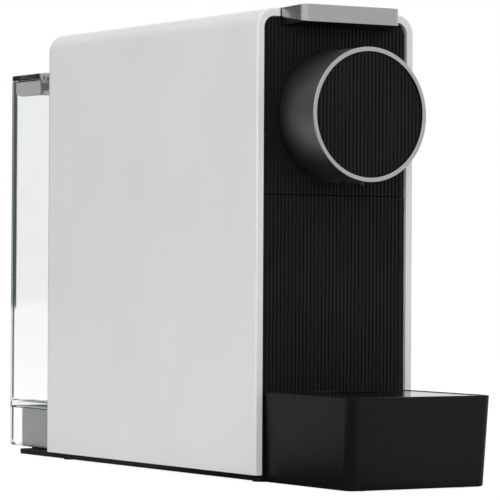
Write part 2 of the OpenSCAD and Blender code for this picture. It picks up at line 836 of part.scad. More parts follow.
// Short pins guide the cage in the side plates; the long ones also reach the lever's cams
module cage_pins() {
  inner = capsule_r - 0.5;
  color("silver") placed() for (side = [-1, 1]) {
    short = side_half + plate_t;
    long = cam_half + plate_t - 0.1;
    rod_x(side > 0 ? [inner, short] : [-short, -inner], guide_pin_y, barrel_z, cage_pin_r);
    rod_x(side > 0 ? [inner, long] : [-long, -inner], cam_rear_y, barrel_z, cage_pin_r);
  }
}

module piercing_plate() {
  shoulder = cage_front + capsule_len;
  color("silver") placed() difference() {
    union() {
      rod_y(0, [shoulder - 1.8, shoulder - seat], barrel_z, capsule_r - 7.2);
      for (a = [90, 210, 330]) translate([6 * cos(a), shoulder - 1.5, barrel_z + 6 * sin(a)])
        rotate([90, 0, 0]) cylinder(h = 5, r1 = 1.3, r2 = 0.3);
    }
    rod_y(0, [0, far], barrel_z, 1.6);
  }
}

/* ---- drawer ---- */
module front_panel_lower() {
  color("#1a1a1b") placed() ribbed_sheet(inner_half - 0.3, panel_t, [slab_top + 0.4, seam_z - 0.2],
    rib_pitch, rib_depth);
}

module capsule_bin() {
  color("#2a2b2d") placed() difference() {
    block([-bin_w / 2, bin_w / 2], [bin_front, bin_rear], [bin_bottom, bin_top]);
    block([bin_wall - bin_w / 2, bin_w / 2 - bin_wall], [bin_front + bin_wall, bin_rear - bin_wall],
      [bin_bottom + bin_wall, far]);
  }
}

// The drip box's outline at a height, drawn in from the wall's outer face by an inset
module drip_slice(inset, z) {
  low = (drip_h - z) / (drip_h - drip_foot);
  half = drip_w / 2 - drip_taper * low - inset;
  front = inset + drip_lean * low - drip_len;
  r = max(drip_corner_r - inset, 0.6);
  translate([0, 0, z]) linear_extrude(eps)
    corner_square(half, [front, -drip_back - inset], r, 0.6, $fn = 32);
}

module drip_box() {
  lid_under = drip_lid_top - drip_lid_t;
  color("#1f2022") placed() difference() {
    hull() {
      drip_slice(0, drip_foot);
      drip_slice(0, drip_h - eps);
    }
    hull() {
      drip_slice(drip_wall, drip_foot + drip_wall);
      drip_slice(drip_wall, lid_under - 3);
    }
    hull() {
      drip_slice(drip_wall + 1.4, lid_under - 4);
      drip_slice(drip_wall + 1.4, lid_under + 1);
    }
    hull() {
      drip_slice(drip_wall - 0.4, lid_under - seat);
      drip_slice(drip_wall - 0.4, drip_h + 1);
    }
    for (side = [-1, 1])
      rod_z(side * pad_x, pad_y, [0, drip_foot + 0.6], 4.2);
  }
}

module drip_lid() {
  lid_under = drip_lid_top - drip_lid_t;
  inset = drip_wall + gap - 0.4;
  color("#101112") placed() difference() {
    hull() {
      drip_slice(inset, lid_under);
      drip_slice(inset, drip_lid_top - eps);
    }
    rod_z(0, dish_y, [drip_lid_top - 0.7, far], dish_d / 2);
    rod_z(0, dish_y, [0, far], drain_d / 2);
    for (a = [0:60:300])
      rod_z(5 * cos(a), dish_y + 5 * sin(a), [0, far], drain_d / 2);
  }
}

module drip_pads() {
  color("#222222") placed() for (side = [-1, 1])
    rod_z(side * pad_x, pad_y, [0, drip_foot + 0.5], 4);
}

/* ---- water tank ---- */
module water_tank() {
  inner_half_t = tank_half - tank_wall;
  color("#d8e4e6", 0.35) placed() {
    difference() {
      pillar(tank_half, [tank_front, tank_rear], [tank_foot, tank_top], tank_front_r, tank_rear_r);
      pillar(inner_half_t, [tank_front + tank_wall, tank_rear - tank_wall],
        [tank_floor_z + tank_wall, far], tank_front_r - 1.5, tank_rear_r - tank_wall);
      pillar(inner_half_t, [tank_front + tank_wall, tank_rear - tank_wall],
        [0, tank_floor_z], tank_front_r - 1.5, tank_rear_r - tank_wall);
      block([-8, 8], [0, tank_front + tank_wall + 1], [0, water_z + 5]);
      rod_z(0, valve_y, [tank_floor_z - 1, tank_floor_z + tank_wall + 1], valve_neck_r + 0.1);
    }
    // Ears that carry the lid's pin, and the strip of deck between them
    difference() {
      union() {
        for (side = [-1, 1]) translate([side * (tank_half - 16), 0, 0]) {
          rod_x([-2.8, 2.8], lid_axis_y, lid_axis_z, knuckle_r);
          block([-2.8, 2.8], [lid_axis_y - knuckle_r, lid_axis_y + knuckle_r],
            [tank_top - 12, lid_axis_z]);
        }
        block([1 - inner_half_t, inner_half_t - 1], [lid_axis_y - 4, lid_axis_y + 3],
          [tank_top - 12, tank_top - 9]);
        block([-inner_half_t - 1, inner_half_t + 1], [lid_axis_y - 4, lid_axis_y - 1],
          [tank_top - 12, tank_top - 7.2]);
        block([-inner_half_t - 1, inner_half_t + 1], [tank_front + 1, lid_axis_y - 3.6],
          [tank_top - 8.6, tank_top - 6.2]);
      }
      rod_x([-far, far], lid_axis_y, lid_axis_z, lid_pin_r + run);
    }
  }
}

module tank_lid() {
  skirt_half = tank_half - tank_wall - gap;
  skirt_rear = tank_rear - tank_wall - swing_gap;
  skirt_r = tank_rear_r - tank_wall - gap;
  color("#565c5c", 0.8) placed() difference() {
    union() {
      pillar(tank_half, [lid_front, tank_rear], [tank_top + 0.3, tank_top + lid_t],
        1, tank_rear_r);
      pillar(skirt_half, [lid_front + 4, skirt_rear], [tank_top - skirt_h, tank_top + 1],
        1, skirt_r);
      for (side = [-1, 1]) translate([side * (tank_half - 11), 0, 0]) {
        rod_x([-1.9, 1.9], lid_axis_y, lid_axis_z, knuckle_r - 0.2);
        block([-1.9, 1.9], [lid_axis_y, lid_front + 1], [lid_axis_z - 0.1, tank_top + lid_t - 0.4]);
      }
    }
    pillar(skirt_half - 1.8, [lid_front + 5.8, skirt_rear - 1.8], [0, tank_top + 0.3],
      1, skirt_r - 1.8);
    rod_x([-far, far], lid_axis_y, lid_axis_z, lid_pin_r + run);
  }
}

module lid_pin() {
  color("silver") placed() for (side = [-1, 1]) translate([side * (tank_half - 13.8), 0, 0])
    rod_x([-5, 5], lid_axis_y, lid_axis_z, lid_pin_r);
}

module tank_valve_body() {
  top = tank_floor_z + tank_wall;
  foot = water_z + 4.2;
  color("#2c2d2f") placed() difference() {
    union() {
      rod_z(0, valve_y, [foot, tank_floor_z - seat], valve_r);
      rod_z(0, valve_y, [foot, top + 1.6], valve_neck_r);
      rod_z(0, valve_y, [top + seat, top + 1.6], valve_neck_r + 3);
    }
    rod_z(0, valve_y, [0, top - 2.4], 3.4);
    rod_z(0, valve_y, [0, far], 1.4 + run);
    for (a = [0, 90, 180, 270])
      rod_z(2.9 * cos(a), valve_y + 2.9 * sin(a), [foot, far], 0.8);
  }
}

module valve_poppet() {
  top = tank_floor_z + tank_wall;
  color("#c7c7c2") placed() {
    rod_z(0, valve_y, [water_z + 8, top + 3], 1.4);
    rod_z(0, valve_y, [water_z + 8, water_z + 9], 2.6);
    rod_z(0, valve_y, [top + 2.4, top + 4.4], 5);
  }
}

module valve_spring() {
  low = water_z + 9;
  color("silver") placed() translate([0, valve_y, low + 0.05])
    coil_spring(2.2, 0.25, tank_floor_z + tank_wall - 2.4 - low - 0.1, 3);
}

module tank_pedestal() {
  half = tank_half - tank_wall - 1.2;
  color("#8f9492") placed() difference() {
    union() {
      difference() {
        pillar(half, [tank_front + tank_wall + 1, pedestal_rear], [platform_top, pedestal_top], 2, 5);
        pillar(half - 2, [tank_front + tank_wall + 3, pedestal_rear - 2],
          [0, pedestal_top - 2], 1, 3);
      }
      rod_z(0, valve_y, [platform_top + 2, pedestal_top - 1], socket_r + 2);
      rod_y(0, [back_wall_front - 8, valve_y], water_z, hose_r);
    }
    rod_z(0, valve_y, [water_z + 2, far], socket_r);
    rod_z(0, valve_y, [water_z, far], 3);
    rod_y(0, [0, valve_y], water_z, nipple_r - 0.8);
    difference() {
      rod_y(0, [0, back_wall_front - 1.5], water_z, hose_r + 1);
      rod_y(0, [0, far], water_z, nipple_r);
    }
  }
  // Pin that lifts the tank's valve
  color("#8f9492") placed() {
    rod_z(0, valve_y, [water_z - 1, water_z + 7.8], 1);
    rod_z(0, valve_y, [platform_top + 2, water_z - 1 + eps], 3.4);
  }
}

module tank_seal() {
  color("#a8341f") placed() difference() {
    rod_z(0, valve_y, [water_z + 2 + eps, water_z + 4.1], socket_r - 0.05);
    rod_z(0, valve_y, [0, far], 4.6);
  }
}

/* ---- cord inlet ---- */
module cord_gland() {
  color("#1c1c1c") placed() difference() {
    union() {
      rod_x([inner_half - 3, half_w], gland_y, gland_z, cord_inlet_r + 2.9);
      rod_x([inner_half - 3, inner_half - seat], gland_y, gland_z, cord_inlet_r + 5);
    }
    rod_x([0, far], gland_y, gland_z, cord_inlet_r);
  }
}

/* ---- buttons ---- */
module cup_button(side) {
  r = button_d / 2;
  under = inner_top - 8.8;
  color("#c4c5c6") placed() difference() {
    union() {
      rod_z(side * button_x, button_y, [under, body_h + lever_proud], r);
      rod_z(side * button_x, button_y, [button_flange_z - 2, button_flange_z], r + 1.6);
    }
    difference() {
      rod_z(side * button_x, button_y, [under - 1, body_h - 3], r - 1.1);
      rod_z(side * button_x, button_y, [under, body_h], 1.8);
    }
  }
}

module button_small_cup() {
  cup_button(-1);
}

module button_large_cup() {
  cup_button(1);
}

module cup_spring(side) {
  color("silver") placed() translate([side * button_x, button_y, button_board_top + 0.1])
    coil_spring(button_d / 2 - 1.9, 0.3, body_h - 3 - button_board_top - 0.2, 5);
}

module spring_small_cup() {
  cup_spring(-1);
}

module spring_large_cup() {
  cup_spring(1);
}

module button_board() {
  color("#1d5c38") placed() difference() {
    union() {
      block([-post_x - 5, post_x + 5], [button_y - post_y - 5, button_y + post_y + 5],
        [button_board_top - board_t, button_board_top]);
      for (side = [-1, 1]) translate([side * button_x, button_y, 0])
        block([-2.6, 2.6], [-2.6, 2.6], [button_board_top, button_board_top + 2.2]);
    }
    for (x = [-post_x, post_x]) for (y = [button_y - post_y, button_y + post_y])
      rod_z(x, y, [0, far], 1);
  }
}

/* ---- pump ---- */
module pump_body() {
  color("#b9b09a") placed() difference() {
    union() {
      rod_z(pump_x, pump_y, [pump_bottom, pump_top], pump_r);
      rod_z(pump_x, pump_y, [pump_bottom - 7, pump_bottom + 1], nipple_r);
      rod_z(pump_x, pump_y, [pump_top - 1, pump_top + 5], pressure_hose_r - 1.1);
    }
    rod_z(pump_x, pump_y, [pump_bottom + 3, pump_top - 3], plunger_r + run);
    rod_z(pump_x, pump_y, [0, far], 0.9);
  }
}

module pump_coil() {
  color("#23201e") placed() translate([pump_x, pump_y, 0]) difference() {
    pillar(coil_w / 2, [-coil_w / 2, coil_w / 2], [coil_bottom, coil_bottom + coil_h], 4, 4);
    rod_z(0, 0, [0, far], pump_r + 0.1);
  }
}

module pump_bracket() {
  half = coil_w / 2 + 1.7;
  color("#9a9ca0") placed() translate([pump_x, pump_y, 0]) difference() {
    block([-half, half], [-10, 10], [coil_bottom - 1.7, coil_bottom + coil_h + 1.7]);
    block([seat - half + 1.3, half - 1.3 - seat], [-11, 11],
      [coil_bottom - seat, coil_bottom + coil_h + seat]);
    rod_z(0, 0, [0, far], pump_r + 0.1);
  }
}

module pump_mounts() {
  color("#2a2a2a") placed() for (z = [mount_low, mount_high])
    translate([pump_x, pump_y, 0]) difference() {
      rod_z(0, 0, [z, z + mount_h], mount_r);
      rod_z(0, 0, [0, far], pump_r + 0.1);
    }
}

module pump_plunger() {
  color("silver") placed() difference() {
    rod_z(pump_x, pump_y, [coil_bottom + 10, coil_bottom + 38], plunger_r);
    rod_z(pump_x, pump_y, [0, far], 1.5);
  }
}

module pump_springs() {
  low = pump_bottom + 3.1;
  high = coil_bottom + 38.1;
  color("silver") placed() translate([pump_x, pump_y, 0]) {
    translate([0, 0, low]) coil_spring(4.2, 0.4, coil_bottom + 9.9 - low, 5);
    translate([0, 0, high]) coil_spring(4.2, 0.4, pump_top - 3.1 - high, 5);
  }
}

module flow_meter() {
  color("#d9d9d2") placed() difference() {
    union() {
      rod_z(meter_x, meter_y, [base_top + seat, meter_top], meter_r);
      rod_x([meter_x, meter_x + meter_r + 7], meter_y, water_z, nipple_r);
      rod_z(meter_x, meter_y, [meter_top - 1, meter_top + 7], nipple_r);
    }
    rod_z(meter_x, meter_y, [base_top + 3, meter_top - 2.4], meter_r - 2);
    rod_x([meter_x, far], meter_y, water_z, nipple_r - 1);
    rod_z(meter_x, meter_y, [meter_top - 4, far], nipple_r - 1);
  }
}

/* ---- hoses ---- */
module suction_hose() {
  bore = nipple_r + run;
  color("#d0d2cf") placed() {
    hose([[0, back_wall_front - 2.2, water_z], [0, meter_y, water_z],
      [meter_x + meter_r + 0.6, meter_y, water_z]], hose_r, bore);
    hose([[meter_x, meter_y, meter_top + 0.3], [meter_x, meter_y, meter_top + 13],
      [meter_x, pump_y, meter_top + 13], [meter_x, pump_y, base_top + hose_r + 0.6],
      [pump_x, pump_y, base_top + hose_r + 0.6], [pump_x, pump_y, pump_bottom - 0.3]],
      hose_r, bore);
  }
}

module pressure_hose() {
  y = heater_front + 14;
  z = (pump_top + deck_bottom) / 2;
  color("#e8e6df") placed() hose([[pump_x, pump_y, pump_top + 0.3], [pump_x, pump_y, z],
    [pump_x, y, z], [pump_x, y, heater_bottom - 0.3]],
    pressure_hose_r, pressure_hose_r - 1.1 + run);
}

// The flexible hose to the moving cage, with an S-bend of spare length behind the bridge
module brew_hose_run(r, grow) {
  bend_r = (heater_front - 8 - bend_y) / 4;
  rod_y(0, [cage_hub_rear - 5.8 - grow, bend_y], barrel_z, r);
  for (turn = [[0, 90, 90], [2, 270, 180], [4, 180, 90]])
    translate([bend_r, bend_y + turn[0] * bend_r, barrel_z]) rotate([0, 0, turn[1]])
      rotate_extrude(angle = turn[2]) translate([bend_r, 0]) circle(r = r);
  rod_y(0, [heater_front - 8, heater_front - 0.3 + grow], barrel_z, r);
}

module brew_hose() {
  color("#e8e6df") placed() difference() {
    brew_hose_run(pressure_hose_r, 0);
    brew_hose_run(pressure_hose_r - 1.1 + run, 1);
  }
}

/* ---- heater and electronics ---- */
module thermoblock() {
  rear = heater_front + heater_len;
  top = heater_bottom + heater_h;
  color("#a9abad") placed() difference() {
    union() {
      block([-heater_w / 2, heater_w / 2], [heater_front, rear], [heater_bottom, top]);
      for (i = [-4:4]) block([i * 5 - 1, i * 5 + 1], [heater_front, rear], [top - 1, top + 3]);
      for (x = [-1, 1]) for (y = [heater_front + 5, rear - 5])
        rod_z(x * (heater_w / 2 - 5), y, [deck_top + seat, heater_bottom + 1], 3);
      rod_y(0, [heater_front - 7, heater_front + 1], barrel_z, pressure_hose_r - 1.1);
      rod_z(pump_x, heater_front + 14, [heater_bottom - 7, heater_bottom + 1],
        pressure_hose_r - 1.1);
    }
    rod_y(0, [0, heater_front + 20], barrel_z, 0.8);
    rod_z(pump_x, heater_front + 14, [0, heater_bottom + 12], 0.8);
  }
}

module thermostats() {
  top = heater_bottom + heater_h;
  color("#c9c9c9") placed() for (x = [-1, 1]) translate([x * (heater_w / 2 + 0.2), 0, 0]) {
    y = heater_front + 18;
    z = top - 12;
    rod_x(x > 0 ? [0, 6] : [-6, 0], y, z, 8);
    for (dy = [-4, 4]) translate([0, y + dy, 0])
      block(x > 0 ? [5, 11] : [-11, -5], [-0.4, 0.4], [z - 2, z + 2]);
  }
}

module control_board() {
  color("#1d5c38") placed() block([board_x, board_x + board_t],
    [wall_rear + seat, back_wall_front - seat], [board_bottom, deck_bottom - 10]);
}

module board_parts() {
  x = board_x - seat;
  y = pump_y + coil_w / 2 + 10;
  z = board_bottom;
  color("#30353a") placed() {
    block([x - 16, x], [y, y + 22], [z + 8, z + 30]);
    block([x - 12, x], [y, y + 18], [z + 40, z + 52]);
    rod_x([x - 14, x], y + 28, z + 46, 5);
    block([x - 10, x], [y + 26, y + 40], [z + 10, z + 24]);
    block([x - 5, x], [wall_rear + 8, wall_rear + 14], [z + 10, z + 60]);
  }
}

outer_shell();
rear_cover();
base_plate();
rubber_feet();
base_screws();
chassis();
front_panel_upper();
barrel_sleeve();
barrel_trim_ring();
barrel_cap();
coffee_spout();
coffee_duct();
lever_handle();
lever_cam_left();
lever_cam_right();
lever_axle();
axle_clips();
capsule_guide();
brew_plate_left();
brew_plate_right();
brew_bridge();
extraction_head();
extraction_plate();
plate_seal();
brew_cage();
cage_pins();
piercing_plate();
front_panel_lower();
capsule_bin();
drip_box();
drip_lid();
drip_pads();
water_tank();
tank_lid();
lid_pin();
tank_valve_body();
valve_poppet();
valve_spring();
tank_pedestal();
tank_seal();
cord_gland();
button_small_cup();
button_large_cup();
spring_small_cup();
spring_large_cup();
button_board();
pump_body();
pump_coil();
pump_bracket();
pump_mounts();
pump_plunger();
pump_springs();
flow_meter();
suction_hose();
pressure_hose();
brew_hose();
thermoblock();
thermostats();
control_board();
board_parts();
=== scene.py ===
"""Looks of the pod coffee machine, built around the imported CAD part. Metres, +Z up, front facing -Y."""

import json
import math

import bmesh
import bpy
from mathutils import Matrix, Vector


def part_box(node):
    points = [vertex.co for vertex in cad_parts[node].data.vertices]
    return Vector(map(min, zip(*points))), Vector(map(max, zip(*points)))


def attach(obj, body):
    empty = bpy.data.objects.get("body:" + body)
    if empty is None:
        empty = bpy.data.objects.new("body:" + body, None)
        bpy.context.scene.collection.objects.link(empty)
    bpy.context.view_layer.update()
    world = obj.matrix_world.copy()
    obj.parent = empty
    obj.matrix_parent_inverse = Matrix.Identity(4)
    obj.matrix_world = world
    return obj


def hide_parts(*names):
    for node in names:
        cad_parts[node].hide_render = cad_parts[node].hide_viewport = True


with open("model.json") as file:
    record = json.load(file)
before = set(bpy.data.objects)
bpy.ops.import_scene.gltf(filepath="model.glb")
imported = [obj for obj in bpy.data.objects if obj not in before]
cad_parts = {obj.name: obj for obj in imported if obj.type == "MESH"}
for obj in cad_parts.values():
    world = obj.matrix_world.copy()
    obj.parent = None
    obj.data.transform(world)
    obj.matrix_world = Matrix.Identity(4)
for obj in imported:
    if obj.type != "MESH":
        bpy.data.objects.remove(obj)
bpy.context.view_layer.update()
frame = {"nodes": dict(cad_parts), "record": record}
nodes = frame["nodes"]
MM = 0.001
PANEL_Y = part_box("front_panel_lower")[0].y / MM

# ---- camera ----
EYE = (-0.80007, -1.33402, 0.09994)
LOOK_RIGHT = Vector((0.85399244, -0.52025610, 0.00552303))
LOOK_UP = Vector((-0.00835956, -0.00310653, 0.99996023))
LOOK_BACK = -Vector((0.52021825, 0.85400465, 0.00700207))
LENS = 220.85
SENSOR = 36

camera_data = bpy.data.cameras.new("camera")
camera_data.lens = LENS
camera_data.sensor_width = SENSOR
camera = bpy.data.objects.new("camera", camera_data)
camera.matrix_world = Matrix((
    (LOOK_RIGHT.x, LOOK_UP.x, LOOK_BACK.x, EYE[0]),
    (LOOK_RIGHT.y, LOOK_UP.y, LOOK_BACK.y, EYE[1]),
    (LOOK_RIGHT.z, LOOK_UP.z, LOOK_BACK.z, EYE[2]),
    (0, 0, 0, 1),
))
bpy.context.scene.collection.objects.link(camera)
bpy.context.scene.camera = camera
bpy.context.scene.view_settings.view_transform = "Standard"


# ---- materials ----
NOISE_SPAN = (0.3, 0.7)


def linear(grey):
    """sRGB 0-255, as a number or three of them, as linear RGBA."""
    parts = grey if hasattr(grey, "__len__") else (grey, grey, grey)
    out = []
    for p in parts:
        c = p / 255
        out.append(c / 12.92 if c <= 0.04045 else ((c + 0.055) / 1.055) ** 2.4)
    return (*out, 1.0)


class Shader:
    """One node material: a Principled shader and the procedural textures that feed it."""

    def __init__(self, name):
        self.material = bpy.data.materials.new(name)
        self.material.use_nodes = True
        self.tree = self.material.node_tree
        self.tree.nodes.clear()
        self.out = self.node("ShaderNodeOutputMaterial")
        self.principled = self.node("ShaderNodeBsdfPrincipled")
        self.link(self.principled, "BSDF", self.out, "Surface")
        self.coords = self.node("ShaderNodeTexCoord")

    def node(self, kind, **values):
        made = self.tree.nodes.new(kind)
        for key, value in values.items():
            setattr(made, key, value)
        return made

    def link(self, a, socket_a, b, socket_b):
        self.tree.links.new(a.outputs[socket_a], b.inputs[socket_b])

    def set(self, **values):
        for key, value in values.items():
            self.principled.inputs[key.replace("_", " ")].default_value = value
        return self

    def noise(self, scale, detail=3.0, stretch=None):
        """Noise over the object's own coordinates; stretch squeezes it along x, y and z."""
        texture = self.node("ShaderNodeTexNoise")
        texture.inputs["Scale"].default_value = scale
        texture.inputs["Detail"].default_value = detail
        if stretch:
            mapping = self.node("ShaderNodeMapping")
            mapping.inputs["Scale"].default_value = stretch
            self.link(self.coords, "Object", mapping, "Vector")
            self.link(mapping, "Vector", texture, "Vector")
        else:
            self.link(self.coords, "Object", texture, "Vector")
        return texture

    def colours(self, source, low, high):
        """Two close sRGB colours mixed by a texture, over a span of its values."""
        ramp = self.node("ShaderNodeValToRGB")
        ramp.color_ramp.elements[0].position = NOISE_SPAN[0]
        ramp.color_ramp.elements[1].position = NOISE_SPAN[1]
        ramp.color_ramp.elements[0].color = linear(low)
        ramp.color_ramp.elements[1].color = linear(high)
        self.link(source, "Fac", ramp, "Fac")
        self.link(ramp, "Color", self.principled, "Base Color")

    def roughness(self, source, low, high):
        """Roughness from low to high over the same span of the texture's values."""
        spread = self.node("ShaderNodeMapRange")
        spread.inputs["From Min"].default_value = NOISE_SPAN[0]
        spread.inputs["From Max"].default_value = NOISE_SPAN[1]
        spread.inputs["To Min"].default_value = low
        spread.inputs["To Max"].default_value = high
        self.link(source, "Fac", spread, "Value")
        self.link(spread, "Result", self.principled, "Roughness")

    def bump(self, source, height):
        """Relief of that height in metres."""
        relief = self.node("ShaderNodeBump")
        relief.inputs["Strength"].default_value = 1.0
        relief.inputs["Distance"].default_value = height
        self.link(source, "Fac", relief, "Height")
        self.link(relief, "Normal", self.principled, "Normal")


def plastic(name, low, high, rough, grain=900.0, height=0.00001, patch=18.0, **extra):
    """Moulded plastic: a faint cloudy colour, a fine grain in gloss and relief."""
    made = Shader(name)
    made.colours(made.noise(patch), low, high)
    fine = made.noise(grain, 4.0)
    made.roughness(fine, rough * 0.88, rough * 1.12)
    made.bump(fine, height)
    made.set(**extra)
    return made.material


def metal(name, low, high, rough, stretch=(1.0, 1.0, 1.0), grain=700.0, height=0.000004, **extra):
    """Metal with a grain that can be drawn out along one axis, as brushing leaves it."""
    made = Shader(name)
    grains = made.noise(grain, 5.0, stretch)
    made.colours(grains, low, high)
    made.roughness(grains, rough * 0.8, rough * 1.2)
    made.bump(grains, height)
    made.set(Metallic=1.0, **extra)
    return made.material


def clear(name, tint, rough, ior):
    """Clear moulded plastic with a very slight flow in its surface."""
    made = Shader(name)
    flow = made.noise(60.0, 2.0)
    made.colours(flow, tint, [min(255, t + 2) for t in tint])
    made.roughness(flow, rough * 0.6, rough * 1.4)
    made.bump(flow, 0.00002)
    made.set(IOR=ior, Transmission_Weight=1.0)
    return made.material


GLOSS_WHITE = plastic("shell_white", 231, 235, 0.22, grain=260, height=0.000008, Coat_Weight=0.25,
                      Coat_Roughness=0.08)
PANEL_BLACK = plastic("panel_black", (20, 20, 21), (25, 25, 26), 0.5, grain=1500, height=0.000012,
                      Specular_IOR_Level=0.2)
GRAPHITE = metal("barrel_graphite", 126, 136, 0.48, grain=2500, height=0.000006)
TRIM_SILVER = metal("trim_silver", 200, 210, 0.34, grain=1800, height=0.000003)
LEVER_SILVER = metal("lever_silver", 192, 198, 0.28, stretch=(0.03, 1.0, 1.0), grain=2500, height=0.0000005)
CAP_BLACK = plastic("cap_black", (20, 20, 21), (24, 24, 25), 0.45, grain=1500, height=0.00001,
                    Specular_IOR_Level=0.2)
BOX_BLACK = plastic("drip_black", (17, 18, 18), (20, 21, 21), 0.3, grain=700, height=0.00001,
                    Specular_IOR_Level=0.16)
LID_BLACK = plastic("drip_lid_black", (16, 16, 17), (19, 19, 20), 0.12, grain=420, height=0.000004,
                    Specular_IOR_Level=0.38)
BASE_BLACK = plastic("base_black", (18, 18, 19), (22, 22, 23), 0.55, grain=1200, height=0.00002,
                     Specular_IOR_Level=0.2)
FOOT_RUBBER = plastic("foot_rubber", (20, 20, 20), (27, 27, 26), 0.85, grain=1800, height=0.00003)
SPOUT_BLACK = plastic("spout_black", (20, 20, 21), (25, 25, 26), 0.35, grain=900,
                      Specular_IOR_Level=0.2)
TANK_CLEAR = clear("tank_clear", (253, 254, 254), 0.02, 1.31)
LID_SMOKE = clear("lid_smoke", (92, 98, 97), 0.06, 1.49)
HINGE_CLEAR = plastic("hinge_clear", (206, 210, 208), (216, 219, 217), 0.2, grain=600,
                      Transmission_Weight=0.3)
SKIRT_GREY = plastic("skirt_grey", (188, 190, 189), (195, 197, 196), 0.4, grain=800)
PEDESTAL_GREY = plastic("pedestal_grey", (126, 130, 129), (134, 138, 136), 0.42, grain=900)
INNER_PLASTIC = plastic("inner_plastic", (58, 59, 61), (68, 69, 71), 0.5, grain=1100, height=0.00002)
BIN_PLASTIC = plastic("bin_plastic", (38, 39, 41), (46, 47, 49), 0.48, grain=1000, height=0.00002)
STEEL = metal("steel", 176, 196, 0.26, grain=2200)
CAM_STEEL = metal("cam_steel", 140, 160, 0.36, stretch=(1.0, 0.1, 1.0), grain=2000)
SEAL_RED = plastic("seal_rubber", (140, 47, 34), (158, 58, 42), 0.7, grain=1600, height=0.00002)
GLAND_RUBBER = plastic("gland_rubber", (24, 24, 24), (31, 31, 30), 0.8, grain=1500, height=0.00003)
BUTTON_SILVER = metal("button_silver", 178, 190, 0.32, grain=2600)
BOARD_GREEN = plastic("board_green", (24, 72, 46), (34, 92, 58), 0.42, grain=1300, patch=120)
PARTS_DARK = plastic("parts_dark", (34, 34, 36), (54, 54, 56), 0.5, grain=900, patch=160)
PUMP_TAN = plastic("pump_tan", (176, 158, 128), (188, 171, 141), 0.5, grain=1000)
COIL_BLACK = plastic("coil_black", (30, 30, 32), (40, 40, 42), 0.6, grain=1200, height=0.00003)
HOSE_CLEAR = plastic("hose_clear", (206, 208, 203), (218, 220, 215), 0.35, grain=700,
                     Transmission_Weight=0.5)
HEATER_CAST = metal("heater_cast", 150, 172, 0.55, grain=900, height=0.00006)
BREW_PLASTIC = plastic("brew_plastic", (44, 45, 47), (54, 55, 57), 0.4, grain=1000, height=0.00002)

SLOT_MATERIALS = {
    "shell_white": GLOSS_WHITE, "panel_black": PANEL_BLACK, "barrel_graphite": GRAPHITE,
    "trim_silver": TRIM_SILVER, "lever_silver": LEVER_SILVER, "drip_black": BOX_BLACK,
    "drip_lid_black": LID_BLACK, "base_black": BASE_BLACK, "foot_rubber": FOOT_RUBBER,
    "spout_black": SPOUT_BLACK, "tank_clear": TANK_CLEAR, "lid_smoke": LID_SMOKE,
    "pedestal_grey": PEDESTAL_GREY, "inner_plastic": INNER_PLASTIC, "bin_plastic": BIN_PLASTIC,
    "steel": STEEL, "cam_steel": CAM_STEEL, "seal_rubber": SEAL_RED, "gland_rubber": GLAND_RUBBER,
    "button_silver": BUTTON_SILVER, "board_green": BOARD_GREEN, "parts_dark": PARTS_DARK,
    "pump_tan": PUMP_TAN, "coil_black": COIL_BLACK, "hose_clear": HOSE_CLEAR,
    "heater_cast": HEATER_CAST, "brew_plastic": BREW_PLASTIC,
}
NODE_SLOTS = {part["node"]: part["material_slot"] for part in frame["record"]["subparts"]}


# ---- mesh helpers: all points in millimetres, y from the front panel's plane ----
def place(point):
    x, y, z = point
    return Vector((x * MM, (y + PANEL_Y) * MM, z * MM))


def to_object(name, bm, material):
    bmesh.ops.recalc_face_normals(bm, faces=bm.faces)
    mesh = bpy.data.meshes.new(name)
    bm.to_mesh(mesh)
    bm.free()
    made = bpy.data.objects.new(name, mesh)
    bpy.context.scene.collection.objects.link(made)
    if material:
        mesh.materials.append(material)
    return made


def loft(name, rings, material=None, caps=True, closed=False):
    """A skin over rings of equal length; caps close its two ends, closed joins the last ring to the first."""
    bm = bmesh.new()
    rows = [[bm.verts.new(place(p)) for p in ring] for ring in rings]
    pairs = list(zip(rows, rows[1:])) + ([(rows[-1], rows[0])] if closed else [])
    count = len(rows[0])
    for low, high in pairs:
        for i in range(count):
            k = (i + 1) % count
            bm.faces.new((low[i], low[k], high[k], high[i]))
    if caps and not closed:
        bm.faces.new(rows[0])
        bm.faces.new(rows[-1])
    return to_object(name, bm, material)


def lathe(name, profile, origin, axis, material=None, steps=96):
    """A closed profile of (radius, distance along the axis) turned about x, y or z through the origin."""
    spin = []
    for i in range(steps):
        a = 2 * math.pi * i / steps
        ring = []
        for r, d in profile:
            u, v = r * math.cos(a), r * math.sin(a)
            ring.append({"x": (d, u, v), "y": (u, d, v), "z": (u, v, d)}[axis])
        spin.append([tuple(o + p for o, p in zip(origin, point)) for point in ring])
    bm = bmesh.new()
    rows = [[bm.verts.new(place(p)) for p in ring] for ring in spin]
    count = len(profile)
    for a, b in zip(rows, rows[1:] + rows[:1]):
        for i in range(count):
            k = (i + 1) % count
            bm.faces.new((a[i], a[k], b[k], b[i]))
    bmesh.ops.remove_doubles(bm, verts=bm.verts, dist=1e-7)
    bmesh.ops.dissolve_degenerate(bm, edges=bm.edges, dist=1e-7)
    return to_object(name, bm, material)


def prism(name, outline, axis, low, high, material=None):
    """A flat outline pushed along an axis; the outline's two numbers are the other two axes in order."""
    def lift(d):
        if axis == "x":
            return [(d, p, q) for p, q in outline]
        if axis == "y":
            return [(p, d, q) for p, q in outline]
        return [(p, q, d) for p, q in outline]
    return loft(name, [lift(low), lift(high)], material)


def box(name, x, y, z, material=None):
    return prism(name, [(x[0], y[0]), (x[1], y[0]), (x[1], y[1]), (x[0], y[1])], "z", z[0], z[1], material)


def rod(name, origin, axis, low, high, r, steps=64):
    return lathe(name, [(0, low), (r, low), (r, high), (0, high)], origin, axis, steps=steps)


